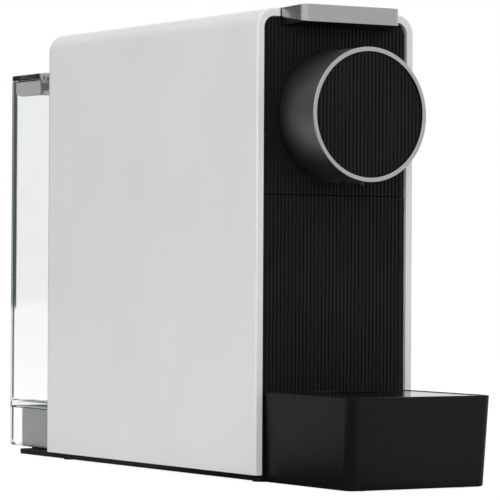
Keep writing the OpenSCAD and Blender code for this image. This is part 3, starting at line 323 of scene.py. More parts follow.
def plan(half, y0, y1, r_front, r_rear, steps=8):
    """A rounded rectangle seen from above, always with the same number of points."""
    points = []
    for cx, cy, r, start in (
        (half - r_front, y0 + r_front, r_front, -90), (half - r_rear, y1 - r_rear, r_rear, 0),
        (r_rear - half, y1 - r_rear, r_rear, 90), (r_front - half, y0 + r_front, r_front, 180),
    ):
        for i in range(steps + 1):
            a = math.radians(start + 90 * i / steps)
            points.append((cx + r * math.cos(a), cy + r * math.sin(a)))
    return points


def level(outline, z):
    return [(x, y, z) for x, y in outline]


def mid(span):
    return sum(span) / 2


def apply_modifiers(obj):
    graph = bpy.context.evaluated_depsgraph_get()
    graph.update()
    mesh = bpy.data.meshes.new_from_object(obj.evaluated_get(graph))
    old = obj.data
    obj.modifiers.clear()
    obj.data = mesh
    bpy.data.meshes.remove(old)


def carve(obj, tools, operation="DIFFERENCE"):
    """Cuts the tools from obj, or joins or intersects them, and removes the tools."""
    for tool in tools:
        modifier = obj.modifiers.new("carve", "BOOLEAN")
        modifier.object = tool
        modifier.operation = operation
        modifier.solver = "EXACT"
        apply_modifiers(obj)
        bpy.data.objects.remove(tool)
    return obj


def soften(obj, width=0.3, segments=2, angle=35, sharp=40):
    """Rounds the piece's edges and smooths its curved faces."""
    if width:
        bevel = obj.modifiers.new("edges", "BEVEL")
        bevel.width = width * MM
        bevel.segments = segments
        bevel.limit_method = "ANGLE"
        bevel.angle_limit = math.radians(angle)
    obj.data.polygons.foreach_set("use_smooth", [True] * len(obj.data.polygons))
    if width:
        apply_modifiers(obj)
    obj.data.polygons.foreach_set("use_smooth", [True] * len(obj.data.polygons))
    obj.data.set_sharp_from_angle(angle=math.radians(sharp))
    weighted = obj.modifiers.new("even_normals", "WEIGHTED_NORMAL")
    weighted.keep_sharp = True
    return obj


def join(objects, name):
    """Puts several pieces' meshes in one object."""
    bm = bmesh.new()
    for piece in objects:
        bm.from_mesh(piece.data)
    mesh = bpy.data.meshes.new(name)
    bm.to_mesh(mesh)
    bm.free()
    made = bpy.data.objects.new(name, mesh)
    bpy.context.scene.collection.objects.link(made)
    for material in objects[0].data.materials:
        mesh.materials.append(material)
    for piece in objects:
        bpy.data.objects.remove(piece)
    return made


REPLACED = set()


def fit(obj, body, node):
    """Rides a finished piece on its body, in the place of a CAD node."""
    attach(obj, body)
    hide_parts(node)
    REPLACED.add(node)


def add(obj, body):
    """Rides a further piece on its body."""
    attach(obj, body)


def extent(node):
    """A node's box in millimetres: x, y and z pairs, y from the panel's plane."""
    low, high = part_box(node)
    return [(low[i] / MM - (PANEL_Y if i == 1 else 0), high[i] / MM - (PANEL_Y if i == 1 else 0))
            for i in range(3)]


# ---- casing ----
SHELL = extent("outer_shell")
SHELL_HALF = SHELL[0][1]
SHELL_FRONT, SHELL_REAR = SHELL[1]
SHELL_LIFT, SHELL_TOP = SHELL[2]
SHELL_WALL = 4.0
SHELL_TOP_WALL = 4.0
SHELL_EDGE_R = 9.5
SHELL_REAR_R = 6.5
REAR_FLANGE = 6.0
INNER_HALF = SHELL_HALF - SHELL_WALL
INNER_TOP = SHELL_TOP - SHELL_TOP_WALL
LEVER = extent("lever_handle")
LEVER_HALF = LEVER[0][1]
LEVER_FRONT, LEVER_HUB_REAR = LEVER[1]
AXLE = extent("lever_axle")
PIVOT_Y = mid(AXLE[1])
PIVOT_Z = mid(AXLE[2])
GAP = 0.4
BUTTON_FLANGE = 1.6
PIN_BORE_R = 1.56
# A cutter that reaches this far to each side goes right through.
ACROSS = 60
BUTTONS = {"small_cup": extent("button_small_cup"), "large_cup": extent("button_large_cup")}
GLAND = extent("cord_gland")


def arc(cx, cy, r, start, end, steps):
    """Points of an arc, its ends included, in degrees."""
    return [(cx + r * math.cos(math.radians(start + (end - start) * i / steps)),
             cy + r * math.sin(math.radians(start + (end - start) * i / steps)))
            for i in range(steps + 1)]


def arch_station(inset, k, steps):
    """One point of the shell's section, drawn in by an inset: foot, left corner, right corner, foot."""
    drop = inset * SHELL_TOP_WALL / SHELL_WALL if inset < SHELL_WALL else inset + SHELL_TOP_WALL - SHELL_WALL
    half, top, r = SHELL_HALF - inset, SHELL_TOP - drop, SHELL_EDGE_R - inset
    if k == 0:
        return -half, SHELL_LIFT
    if k == 2 * steps + 3:
        return half, SHELL_LIFT
    if k <= steps + 1:
        a = math.pi - math.pi / 2 * (k - 1) / steps
        return r - half + r * math.cos(a), top - r + r * math.sin(a)
    a = math.pi / 2 - math.pi / 2 * (k - steps - 2) / steps
    return half - r + r * math.cos(a), top - r + r * math.sin(a)


def build_shell():
    """The arched shell: its wall's outline, seen from above, swept up one side, over and down the other."""
    edge = 0.9
    inner_r = SHELL_REAR_R - SHELL_WALL
    wall = [(edge - edge * math.cos(a), SHELL_FRONT + edge - edge * math.sin(a))
            for a in (math.radians(90 - 15 * i) for i in range(7))]
    wall += [(SHELL_REAR_R - p, SHELL_REAR - SHELL_REAR_R + q)
             for p, q in arc(0, 0, SHELL_REAR_R, 0, 90, 10)]
    lip = SHELL_WALL + REAR_FLANGE
    wall += [(lip - 0.3, SHELL_REAR), (lip, SHELL_REAR - 0.3), (lip, SHELL_REAR - SHELL_WALL)]
    wall += [(SHELL_WALL + inner_r - p, SHELL_REAR - SHELL_WALL - inner_r + q)
             for p, q in arc(0, 0, inner_r, 90, 0, 5)]
    wall += [(SHELL_WALL, SHELL_FRONT + 0.4), (SHELL_WALL - 0.3, SHELL_FRONT)]
    steps = 14
    rings = []
    for k in range(2 * steps + 4):
        ring = []
        for inset, y in wall:
            x, z = arch_station(inset, k, steps)
            ring.append((x, y, z))
        rings.append(ring)
    shell = loft("shell", rings, GLOSS_WHITE)
    tools = [box("notch", (-LEVER_HALF - GAP, LEVER_HALF + GAP), (SHELL_FRONT - 2, LEVER_HUB_REAR - 1.1),
                 (INNER_TOP - 1, SHELL_TOP + 5))]
    for b in BUTTONS.values():
        r = (b[1][1] - b[1][0]) / 2 - BUTTON_FLANGE + GAP
        tools.append(rod("hole", (mid(b[0]), mid(b[1]), 0), "z", INNER_TOP - 2, SHELL_TOP + 2, r))
    tools.append(rod("hole", (0, mid(GLAND[1]), mid(GLAND[2])), "x", INNER_HALF - 1,
                     SHELL_HALF + 3, 6.6))
    carve(shell, tools)
    return soften(shell, 0.25, 2, 50)


def shell_bosses():
    """Screw bosses at the shell's foot and the button board's four posts."""
    screws = extent("base_screws")
    boss_r, bore = 4.0, 1.5
    boss_x = screws[0][1] - 3
    made = []
    for side in (-1, 1):
        for y in (screws[1][0] + 3, screws[1][1] - 3):
            made.append(lathe("boss", [(bore, 6.8), (boss_r, 6.8), (boss_r, 22.0), (boss_r - 0.6, 22.6),
                                       (bore, 22.6)], (side * boss_x, y, 0), "z", GLOSS_WHITE, 40))
            made.append(box("rib", (min(side * boss_x, side * (INNER_HALF + 1)), max(side * boss_x,
                        side * (INNER_HALF + 1))), (y - 1, y + 1), (6.8, 22.2), GLOSS_WHITE))
    board = extent("button_board")
    for x in (-21, 21):
        for y in (mid(board[1]) - 14, mid(board[1]) + 14):
            made.append(lathe("post", [(1.0, board[2][1] + 0.2), (2.7, board[2][1] + 0.2),
                                       (3.0, board[2][1] + 0.6), (3.0, INNER_TOP + 0.5),
                                       (1.0, INNER_TOP + 0.5)], (x, y, 0), "z", GLOSS_WHITE, 32))
    return soften(join(made, "shell_bosses"), 0)


# ---- front ----
RIB_PITCH = 2.1
RIB_DEPTH = 0.6
RIB_ROUND = 0.14
BARREL = extent("barrel_sleeve")
RING = extent("barrel_trim_ring")
BARREL_R = RING[0][1]
BARREL_Z = mid(RING[2])
TRIM_W = 2.1


def rib_columns(half):
    """(x, depth) across a panel: rounded ribs with grooves between them."""
    q, r = RIB_PITCH / 4, RIB_ROUND
    rib = [(-q - r, RIB_DEPTH), (-q, r), (-q + r, 0), (q - r, 0), (q, r), (q + r, RIB_DEPTH)]
    count = int((half - q - 0.2) // RIB_PITCH)
    columns = [(-half, RIB_DEPTH)]
    for i in range(-count, count + 1):
        columns += [(i * RIB_PITCH + dx, d) for dx, d in rib]
    return columns + [(half, RIB_DEPTH)]


def ribbed_plate(name, half, front, back, low, high, material):
    """An upright plate with ribs; high gives the top edge's height at an x."""
    bm = bmesh.new()
    columns = rib_columns(half)
    grid = []
    for x, d in columns:
        z = high(x)
        grid.append([bm.verts.new(place(p)) for p in
                     ((x, front + d, low), (x, front + d, z), (x, back, z), (x, back, low))])
    for a, b in zip(grid, grid[1:]):
        for i in range(4):
            k = (i + 1) % 4
            bm.faces.new((a[i], b[i], b[k], a[k]))
    bm.faces.new(grid[0])
    bm.faces.new(grid[-1])
    return to_object(name, bm, material)


def build_upper_panel():
    panel = extent("front_panel_upper")
    half, (front, back), (low, top) = panel[0][1], panel[1], panel[2]
    r = SHELL_EDGE_R - SHELL_WALL - 0.3

    def high(x):
        over = max(0.0, abs(x) - (half - r))
        return top - r + math.sqrt(max(0.0, r * r - over * over))

    plate = ribbed_plate("upper_panel", half, front, back, low, high, PANEL_BLACK)
    carve(plate, [rod("hole", (0, 0, BARREL_Z), "y", front - 2, back + 2, BARREL_R + 0.2, 128)])
    return soften(plate, 0)


def build_lower_panel():
    panel = extent("front_panel_lower")
    plate = ribbed_plate("lower_panel", panel[0][1], panel[1][0], panel[1][1], panel[2][0],
                         lambda x: panel[2][1], PANEL_BLACK)
    return soften(plate, 0)


def build_sleeve():
    front, rear = BARREL[1]
    flange = 2.4
    bore = BARREL_R - TRIM_W + 0.1
    profile = [(bore, front), (BARREL_R, front), (BARREL_R, rear - 1.0),
               (BARREL_R + flange, rear - 1.0), (BARREL_R + flange, rear), (bore, rear)]
    sleeve = lathe("barrel", profile, (0, 0, BARREL_Z), "y", GRAPHITE, 160)
    spout = extent("coffee_spout")
    carve(sleeve, [rod("hole", (0, mid(spout[1]), 0), "z", BARREL_Z - BARREL_R - 2, BARREL_Z, 5.8)])
    return soften(sleeve, 0, sharp=35)


def build_ring():
    front, rear = RING[1]
    inner = BARREL_R - TRIM_W
    edge = 0.2
    profile = [(inner, rear), (inner, front + edge), (inner + edge, front), (BARREL_R - edge, front),
               (BARREL_R, front + edge), (BARREL_R, rear)]
    return soften(lathe("trim_ring", profile, (0, 0, BARREL_Z), "y", TRIM_SILVER, 192), 0.08, 2, 30)


def build_cap():
    cap = extent("barrel_cap")
    r = BARREL_R - TRIM_W - 0.2
    front = cap[1][0]
    plate = ribbed_plate("barrel_cap", r + 1, front, front + 3, BARREL_Z - r - 1,
                         lambda x: BARREL_Z + r + 1, CAP_BLACK)
    carve(plate, [rod("round", (0, 0, BARREL_Z), "y", front - 1, front + 4, r, 160)], "INTERSECT")
    skirt = lathe("cap_skirt", [(r - 1.9, front + 2.9), (r - 0.3, front + 2.9), (r - 0.3, front + 7),
                                (r - 1.9, front + 7)], (0, 0, BARREL_Z), "y", CAP_BLACK, 96)
    return soften(join([plate, skirt], "cap"), 0)


def build_spout():
    spout = extent("coffee_spout")
    low, top = spout[2]
    r, bore = 5.5, 2.9
    profile = [(bore, low + 0.5), (bore + 0.5, low), (r - 0.7, low), (r - 0.2, low + 0.2), (r, low + 0.7),
               (r, low + 4.6), (r + 1.5, low + 4.6), (r + 1.5, low + 6.4), (r, low + 6.4), (r, top),
               (bore, top)]
    return soften(lathe("spout", profile, (0, mid(spout[1]), 0), "z", SPOUT_BLACK, 64), 0)


# ---- lever ----
BAR_H = 8.2
BAR_RISE = 1.3
BAR_REAR = -1.0
BAR_CORNER_R = 4.0
BAR_SLANT = 3.5
METAL_EDGE_REAR = 4.4


def lever_outline(inset, low, high):
    """The lever seen from above, its ends drawn in toward the front, as a block to cut with."""
    half, front, r = LEVER_HALF - inset, LEVER_FRONT + inset, BAR_CORNER_R - inset
    rear = LEVER_HUB_REAR + 5
    turn = math.degrees(math.atan2(BAR_SLANT, -LEVER_FRONT - BAR_CORNER_R))
    corner = half - BAR_SLANT - r
    points = [(half, rear), (-half, rear), (-half, 0)]
    points += arc(-corner, front + r, r, 180 + turn, 270, 12)
    points += arc(corner, front + r, r, 270, 360 - turn, 12)
    points += [(half, 0)]
    return loft("outline", [level(points, low), level(points, high)])


def build_lever():
    """The metal bar in front, the plate over the notch and the rounded hub over the axle, hollow below."""
    front_top = LEVER[2][1]
    top = front_top - BAR_RISE
    under = INNER_TOP + GAP
    outer = top - PIVOT_Z
    inner = outer - 3.1
    dip = math.degrees(math.asin((under - PIVOT_Z) / inner))
    edge_rear = top - METAL_EDGE_REAR
    side = [(LEVER_FRONT, front_top - BAR_H), (BAR_REAR, edge_rear), (BAR_REAR, max(under, edge_rear + 0.2))]
    side += arc(PIVOT_Y, PIVOT_Z, inner, 180 - dip, 90, 4)
    side += arc(PIVOT_Y, PIVOT_Z, inner, 90, 0, 16)[1:]
    side += arc(PIVOT_Y, PIVOT_Z, outer, 0, 90, 24)
    side += [(BAR_REAR, top), (LEVER_FRONT, front_top)]
    lever = prism("lever", side, "x", -LEVER_HALF, LEVER_HALF, LEVER_SILVER)
    carve(lever, [lever_outline(0, PIVOT_Z - 5, front_top + 5)], "INTERSECT")
    cam = extent("lever_cam_right")
    pocket = [box("pocket", (3 - LEVER_HALF, LEVER_HALF - 3), (6, PIVOT_Y - 4), (0, top - 2.2))]
    for side_x in (-1, 1):
        x = side_x * mid(cam[0])
        pocket.append(box("slot", (x - 1.7, x + 1.7), (41.8, PIVOT_Y - 4), (0, top - 2.2)))
    carve(lever, pocket)
    return soften(lever, 0.45, 3, 40)


def build_lever_insert():
    """The black piece under the metal bar."""
    bottom = LEVER[2][1] - BAR_RISE - BAR_H
    top = LEVER[2][1] - BAR_RISE - METAL_EDGE_REAR
    side = [(LEVER_FRONT, bottom + BAR_RISE - 0.1), (BAR_REAR, bottom), (BAR_REAR, top),
            (LEVER_FRONT, bottom + BAR_RISE + 0.6)]
    insert = prism("lever_insert", side, "x", -LEVER_HALF, LEVER_HALF, SPOUT_BLACK)
    carve(insert, [lever_outline(0.5, PIVOT_Z - 5, LEVER[2][1] + 5)], "INTERSECT")
    return soften(insert, 0.2, 2, 40)


# ---- drawer ----
DRIP = extent("drip_box")
DRIP_TOP = DRIP[2][1]
DRIP_FOOT = DRIP[2][0]
DRIP_HALF = DRIP[0][1]
DRIP_TAPER = 1.1
DRIP_LEAN = 3.2
DRIP_CORNER_R = 5.2
DRIP_WALL = 1.8
SPOUT_Y = mid(extent("coffee_spout")[1])
DISH_Y = SPOUT_Y - 3.0


def drip_ring(inset, z):
    low = (DRIP_TOP - z) / (DRIP_TOP - DRIP_FOOT)
    half = DRIP_HALF - DRIP_TAPER * low - inset
    return level(plan(half, DRIP[1][0] + DRIP_LEAN * low + inset, DRIP[1][1] - inset,
                      max(DRIP_CORNER_R - inset, 0.6), max(1.0 - inset, 0.4), 10), z)


def build_drip_box():
    lid = extent("drip_lid")
    under = lid[2][0]
    rings = [drip_ring(i, z) for i, z in (
        (1.0, DRIP_FOOT), (0.45, DRIP_FOOT + 0.12), (0.12, DRIP_FOOT + 0.45), (0.0, DRIP_FOOT + 1.0),
        (0.0, DRIP_TOP - 0.45), (0.1, DRIP_TOP - 0.14), (0.4, DRIP_TOP), (1.1, DRIP_TOP),
        (1.35, DRIP_TOP - 0.2), (1.4, DRIP_TOP - 0.5), (1.4, under - 0.2), (3.2, under - 0.2),
        (3.2, under - 4), (DRIP_WALL, under - 5), (DRIP_WALL, DRIP_FOOT + 3.4),
        (DRIP_WALL + 1.6, DRIP_FOOT + DRIP_WALL))]
    drip = loft("drip_box", rings, BOX_BLACK)
    pads = extent("drip_pads")
    tools = [rod("recess", (s * (pads[0][1] - 4), mid(pads[1]), 0), "z", -1,
                 DRIP_FOOT + 0.6, 4.2) for s in (-1, 1)]
    carve(drip, tools)
    return soften(drip, 0, sharp=50)


def build_drip_lid():
    low, top = extent("drip_lid")[2]
    inset = DRIP_WALL
    rings = [drip_ring(i, z) for i, z in (
        (inset + 0.2, low), (inset, low + 0.2), (inset, top - 0.3), (inset + 0.1, top - 0.09),
        (inset + 0.35, top))]
    lid = loft("drip_lid", rings, LID_BLACK)
    dish = lathe("dish", [(0, top - 0.55), (7.6, top - 0.55), (8.4, top - 0.7), (10.7, top - 0.7),
                          (11.5, top + 0.02), (11.5, top + 2), (0, top + 2)], (0, DISH_Y, 0), "z",
                 steps=96)
    tools = [dish, rod("drain", (0, DISH_Y, 0), "z", low - 1, top + 1, 1.2, 24)]
    for i in range(6):
        a = math.radians(60 * i)
        tools.append(rod("drain", (5 * math.cos(a), DISH_Y + 5 * math.sin(a), 0), "z", low - 1,
                         top + 1, 1.2, 24))
    carve(lid, tools)
    return soften(lid, 0, sharp=50)


# ---- water tank ----
TANK = extent("water_tank")
TANK_HALF = TANK[0][1]
TANK_FRONT, TANK_REAR = TANK[1]
TANK_FOOT = TANK[2][0]
TANK_WALL = 2.5
LID = extent("tank_lid")
PIN = extent("lid_pin")
TANK_TOP = 202.9
TANK_FLOOR = 26.0
TANK_R = 10.0
TANK_INNER_R = 7.0
SKIRT_DROP = 8.4
SKIRT_RUN = 14.0
SKIRT_RISE = 8.0
HINGE_Y = mid(PIN[1])
HINGE_Z = mid(PIN[2])
LID_BASE = TANK_TOP + 0.3
LID_SLAB_FRONT = HINGE_Y + 3.4
EAR_INSET = 16
EAR_HALF = 2.8
EAR_GAP = 0.4


def tank_ring(inset, z):
    """The tank's outline at a height; its inner face turns tighter round the rear corners than its outer."""
    rear_r = TANK_R - inset if inset < TANK_WALL / 2 else TANK_INNER_R + TANK_WALL - inset
    return level(plan(TANK_HALF - inset, TANK_FRONT + inset, TANK_REAR - inset, max(4 - inset, 0.8),
                      rear_r, 16), z)


def build_tank():
    """A clear box with a floor part-way up and a hollow foot that stands over the pedestal."""
    w = TANK_WALL
    rings = [tank_ring(i, z) for i, z in (
        (w + 2.0, TANK_FLOOR + w), (w + 0.9, TANK_FLOOR + w + 0.3), (w + 0.3, TANK_FLOOR + w + 0.9),
        (w, TANK_FLOOR + w + 2.0), (w, TANK_TOP - 0.5), (w - 0.4, TANK_TOP), (0.5, TANK_TOP),
        (0.15, TANK_TOP - 0.15), (0.0, TANK_TOP - 0.5), (0.0, TANK_FOOT + 1.4), (0.4, TANK_FOOT + 0.4),
        (1.2, TANK_FOOT), (w - 0.3, TANK_FOOT), (w, TANK_FOOT + 0.3), (w, TANK_FLOOR - 0.8),
        (w + 0.8, TANK_FLOOR))]
    tank = loft("tank", rings, TANK_CLEAR)
    valve = extent("tank_valve_body")
    valve_y = mid(valve[1])
    tools = [
        box("hose_gate", (-8, 8), (TANK_FRONT - 5, TANK_FRONT + w + 1), (0, 17)),
        rod("seat", (0, valve_y, 0), "z", TANK_FLOOR - 1, TANK_FLOOR + w + 1, 6.0),
    ]
    carve(tank, tools)
    return soften(tank, 0, sharp=35)


def build_tank_deck():
    """The frosted deck at the tank's front end and the two ears that hold the lid's pin."""
    half = TANK_HALF - TANK_WALL - 0.05
    deck = [(TANK_FRONT + TANK_WALL + 0.1, TANK_TOP - 6.2), (HINGE_Y + 1.6, TANK_TOP - 6.4),
            (HINGE_Y + 2.8, TANK_TOP - 7.4), (HINGE_Y + 2.8, TANK_TOP - 8.4),
            (TANK_FRONT + TANK_WALL + 0.1, TANK_TOP - 8.8)]
    body = prism("tank_deck", deck, "x", -half, half, SKIRT_GREY)
    ears = []
    for s in (-1, 1):
        x = s * (TANK_HALF - EAR_INSET)
        web = [(HINGE_Y - 3, TANK_TOP - 8), (HINGE_Y + 2.6, TANK_TOP - 8)]
        web += arc(HINGE_Y, HINGE_Z, 3, 0, 180, 12)
        ears.append(prism("ear", web, "x", x - EAR_HALF, x + EAR_HALF, SKIRT_GREY))
    carve(body, ears, "UNION")
    carve(body, [rod("bore", (0, HINGE_Y, HINGE_Z), "x", -ACROSS, ACROSS, PIN_BORE_R, 32)])
    return soften(body, 0.3, 2, 40)


def build_lid():
    """The smoked slab of the lid, with a slanted front end."""
    front, rear = LID_SLAB_FRONT, LID[1][1]
    base, top = LID_BASE, LID[2][1]

    def ring(inset, z, slant=0.0):
        return level(plan(TANK_HALF - inset, front + inset + slant, rear - inset, 1.2, TANK_R - inset, 12), z)

    return soften(loft("tank_lid", [ring(0.4, base), ring(0.0, base + 0.3), ring(0.0, top - 0.7, 0.9),
                                    ring(0.25, top - 0.2, 1.1), ring(0.8, top, 1.2)], LID_SMOKE), 0, sharp=35)


def build_lid_knuckles():
    """Clear curled loops that join the lid to its pin."""
    front = LID_SLAB_FRONT
    base, top = LID_BASE, LID[2][1]
    made = []
    ear_in = TANK_HALF - EAR_INSET - EAR_HALF - EAR_GAP
    ear_out = TANK_HALF - EAR_INSET + EAR_HALF + EAR_GAP
    for left, right in ((-TANK_HALF + 0.5, -ear_out), (-ear_in, ear_in), (ear_out, TANK_HALF - 0.5)):
        loop = [(front + 1.2, base + 0.3), (front + 1.2, top - 0.5)]
        loop += arc(HINGE_Y, HINGE_Z, 2.8, 80, 280, 16)
        made.append(prism("knuckle", loop, "x", left, right, HINGE_CLEAR))
        carve(made[-1], [rod("bore", (0, HINGE_Y, HINGE_Z), "x", -ACROSS, ACROSS, PIN_BORE_R, 32)])
    return soften(join(made, "lid_knuckles"), 0.25, 2, 40)


def build_lid_skirt():
    """The lid's grey rim, which reaches down inside the tank."""
    half = TANK_HALF - TANK_WALL - GAP
    front = HINGE_Y + 7.4
    rear = TANK_REAR - TANK_WALL - 1.3
    base = TANK_TOP + 0.4
    foot = TANK_TOP - SKIRT_DROP

    def ring(inset, z, tuck=0.0):
        return level(plan(half - inset - tuck, front + inset, rear - inset - tuck, 1.6,
                          max(7.0 - inset, 1.0), 10), z)

    rings = [ring(0.0, base), ring(0.0, foot + 0.8), ring(0.3, foot + 0.2), ring(0.8, foot),
             ring(1.4, foot), ring(1.8, foot + 0.6), ring(1.8, base)]
    skirt = loft("lid_skirt", rings, SKIRT_GREY, closed=True)
    corner = [(rear + 1, foot - 1), (rear + 1, foot + SKIRT_RISE), (rear, foot + SKIRT_RISE)]
    corner += [(rear - SKIRT_RUN + SKIRT_RUN * math.cos(a), foot + SKIRT_RISE - SKIRT_RISE * math.sin(a))
               for a in (math.radians(10 * i) for i in range(1, 9))]
    corner += [(rear - SKIRT_RUN, foot), (rear - SKIRT_RUN, foot - 1)]
    carve(skirt, [prism("corner", corner, "x", -half - 1, half + 1)])
    return soften(skirt, 0, sharp=50)


# ---- buttons ----
def build_button(key):
    b = BUTTONS[key]
    r = (b[0][1] - b[0][0]) / 2 - BUTTON_FLANGE
    top = b[2][1]
    flange = INNER_TOP - GAP
    low = b[2][0]
    profile = [(0, top - 0.5), (r - 2.4, top - 0.42), (r - 1.5, top - 0.12), (r - 0.9, top),
               (r - 0.35, top - 0.08), (r, top - 0.4), (r, flange), (r + BUTTON_FLANGE, flange),
               (r + BUTTON_FLANGE, flange - 2), (r, flange - 2), (r, low), (r - 1.1, low),
               (r - 1.1, top - 3.6),
               (1.8, top - 3.6), (1.8, low), (0, low)]
    return soften(lathe("button_" + key, profile, (mid(b[0]), mid(b[1]), 0), "z",
                        BUTTON_SILVER, 72), 0, sharp=45)


def build_gland():
    y, z = mid(GLAND[1]), mid(GLAND[2])
    bore, out = 3.6, SHELL_HALF
    profile = [(bore, INNER_HALF - 3), (bore + 2.9, INNER_HALF - 3), (bore + 5, INNER_HALF - 3),
               (bore + 5, INNER_HALF - 0.2), (bore + 2.9, INNER_HALF - 0.2), (bore + 2.9, out - 0.3),
               (bore + 2.6, out), (bore + 0.5, out), (bore, out - 0.5)]
    return soften(lathe("cord_gland", profile, (0, y, z), "x", GLAND_RUBBER, 56), 0, sharp=45)


fit(build_shell(), "machine", "outer_shell")
add(shell_bosses(), "machine")
fit(build_upper_panel(), "machine", "front_panel_upper")
fit(build_sleeve(), "machine", "barrel_sleeve")
fit(build_ring(), "machine", "barrel_trim_ring")
fit(build_cap(), "machine", "barrel_cap")
fit(build_spout(), "machine", "coffee_spout")
fit(build_gland(), "machine", "cord_gland")
fit(build_lower_panel(), "drawer", "front_panel_lower")
fit(build_drip_box(), "drawer", "drip_box")
fit(build_drip_lid(), "drip_cover", "drip_lid")
fit(build_lever(), "lever", "lever_handle")
add(build_lever_insert(), "lever")
fit(build_tank(), "tank", "water_tank")
add(build_tank_deck(), "tank")
fit(build_lid(), "tank_cover", "tank_lid")
for piece in (build_lid_skirt(), build_lid_knuckles()):
    add(piece, "tank_cover")
fit(build_button("small_cup"), "small_cup_button", "button_small_cup")
fit(build_button("large_cup"), "large_cup_button", "button_large_cup")


def dress(node, obj):
    """A CAD node keeps its mesh: it takes a finish, merged flat faces and rounded edges."""
    obj.data.materials.clear()
    obj.data.materials.append(SLOT_MATERIALS[NODE_SLOTS[node]])
    flat = obj.modifiers.new("flat_faces", "DECIMATE")
    flat.decimate_type = "DISSOLVE"
    flat.angle_limit = math.radians(1)
    edges = obj.modifiers.new("edges", "BEVEL")
    edges.width = 0.25 * MM
    edges.segments = 2
    edges.limit_method = "ANGLE"
    edges.angle_limit = math.radians(50)
    weighted = obj.modifiers.new("even_normals", "WEIGHTED_NORMAL")
    weighted.keep_sharp = True


for node_name, node_obj in nodes.items():
    if node_name not in REPLACED:
        dress(node_name, node_obj)


# ---- stage: what mirrored rays and rays through the tank meet has darker headings ----
def area_light(name, at, toward, size, power):
    data = bpy.data.lights.new(name, "AREA")
    data.shape = "RECTANGLE"
    data.size, data.size_y = size
    data.energy = power
    lamp = bpy.data.objects.new(name, data)
    lamp.location = at
    lamp.rotation_euler = (Vector(toward) - Vector(at)).to_track_quat("-Z", "Y").to_euler()
    bpy.context.scene.collection.objects.link(lamp)
    lamp.visible_camera = False
    lamp.visible_glossy = False


def turned_to(tree, vector, azimuth, near, far, value_near=1.0, value_far=0.0):
    """A value that goes over from far to near as a vector turns to an azimuth (0 is +X, 90 is +Y)."""
    flat = tree.nodes.new("ShaderNodeVectorMath")
    flat.operation = "MULTIPLY"
    flat.inputs[1].default_value = (1, 1, 0)
    tree.links.new(vector, flat.inputs[0])
    heading = tree.nodes.new("ShaderNodeVectorMath")
    heading.operation = "NORMALIZE"
    tree.links.new(flat.outputs[0], heading.inputs[0])
    dot = tree.nodes.new("ShaderNodeVectorMath")
    dot.operation = "DOT_PRODUCT"
    a = math.radians(azimuth)
    dot.inputs[1].default_value = (math.cos(a), math.sin(a), 0)
    tree.links.new(heading.outputs[0], dot.inputs[0])
    spread = tree.nodes.new("ShaderNodeMapRange")
    spread.interpolation_type = "SMOOTHSTEP"
    far_dot, near_dot = math.cos(math.radians(far)), math.cos(math.radians(near))
    for name, value in (("From Min", far_dot), ("From Max", near_dot),
                        ("To Min", value_far), ("To Max", value_near)):
        spread.inputs[name].default_value = value
    tree.links.new(dot.outputs["Value"], spread.inputs["Value"])
    return spread.outputs["Result"]


def blend(tree, factor, first, second):
    """The first shader at a factor of 0, the second at 1."""
    mix = tree.nodes.new("ShaderNodeMixShader")
    tree.links.new(factor, mix.inputs[0])
    tree.links.new(first, mix.inputs[1])
    tree.links.new(second, mix.inputs[2])
    return mix.outputs[0]


# A heading is (azimuth, full within, gone beyond) in degrees, and may end with its values; STEEP is
# the span of a ray's climb, NEAR that of the distance from the tank in metres.
SOFT_LEVEL = 0.47
MIRROR_REAR = (90, 40, 110, 1.0)
MIRROR_FRONT = 0.68
MIRROR_CORNER = (124, 32, 62)
MIRROR_DARK = 0.06
MIRROR_STRIPE = (232, 22, 50, 1.45)
MIRROR_STEEP = (0.3, 0.6)
MIRROR_TOP = 0.75
THROUGH_WINDOW = (62.5, 3.4, 5.6)
THROUGH_STEEP = (0.15, 0.3)
THROUGH_DARK = (0.06, 0.085, 0.08)
FLOOR_HALF = 6.0
FLOOR_GREY = 225
FLOOR_SEEN_GREY = 120
FLOOR_GLOW = 0.925
FLOOR_SHADE = (228, 18, 48)
FLOOR_SHADE_GREY = 40
FLOOR_DARK = (92, 17, 23)
FLOOR_NEAR = (0.08, 0.15)


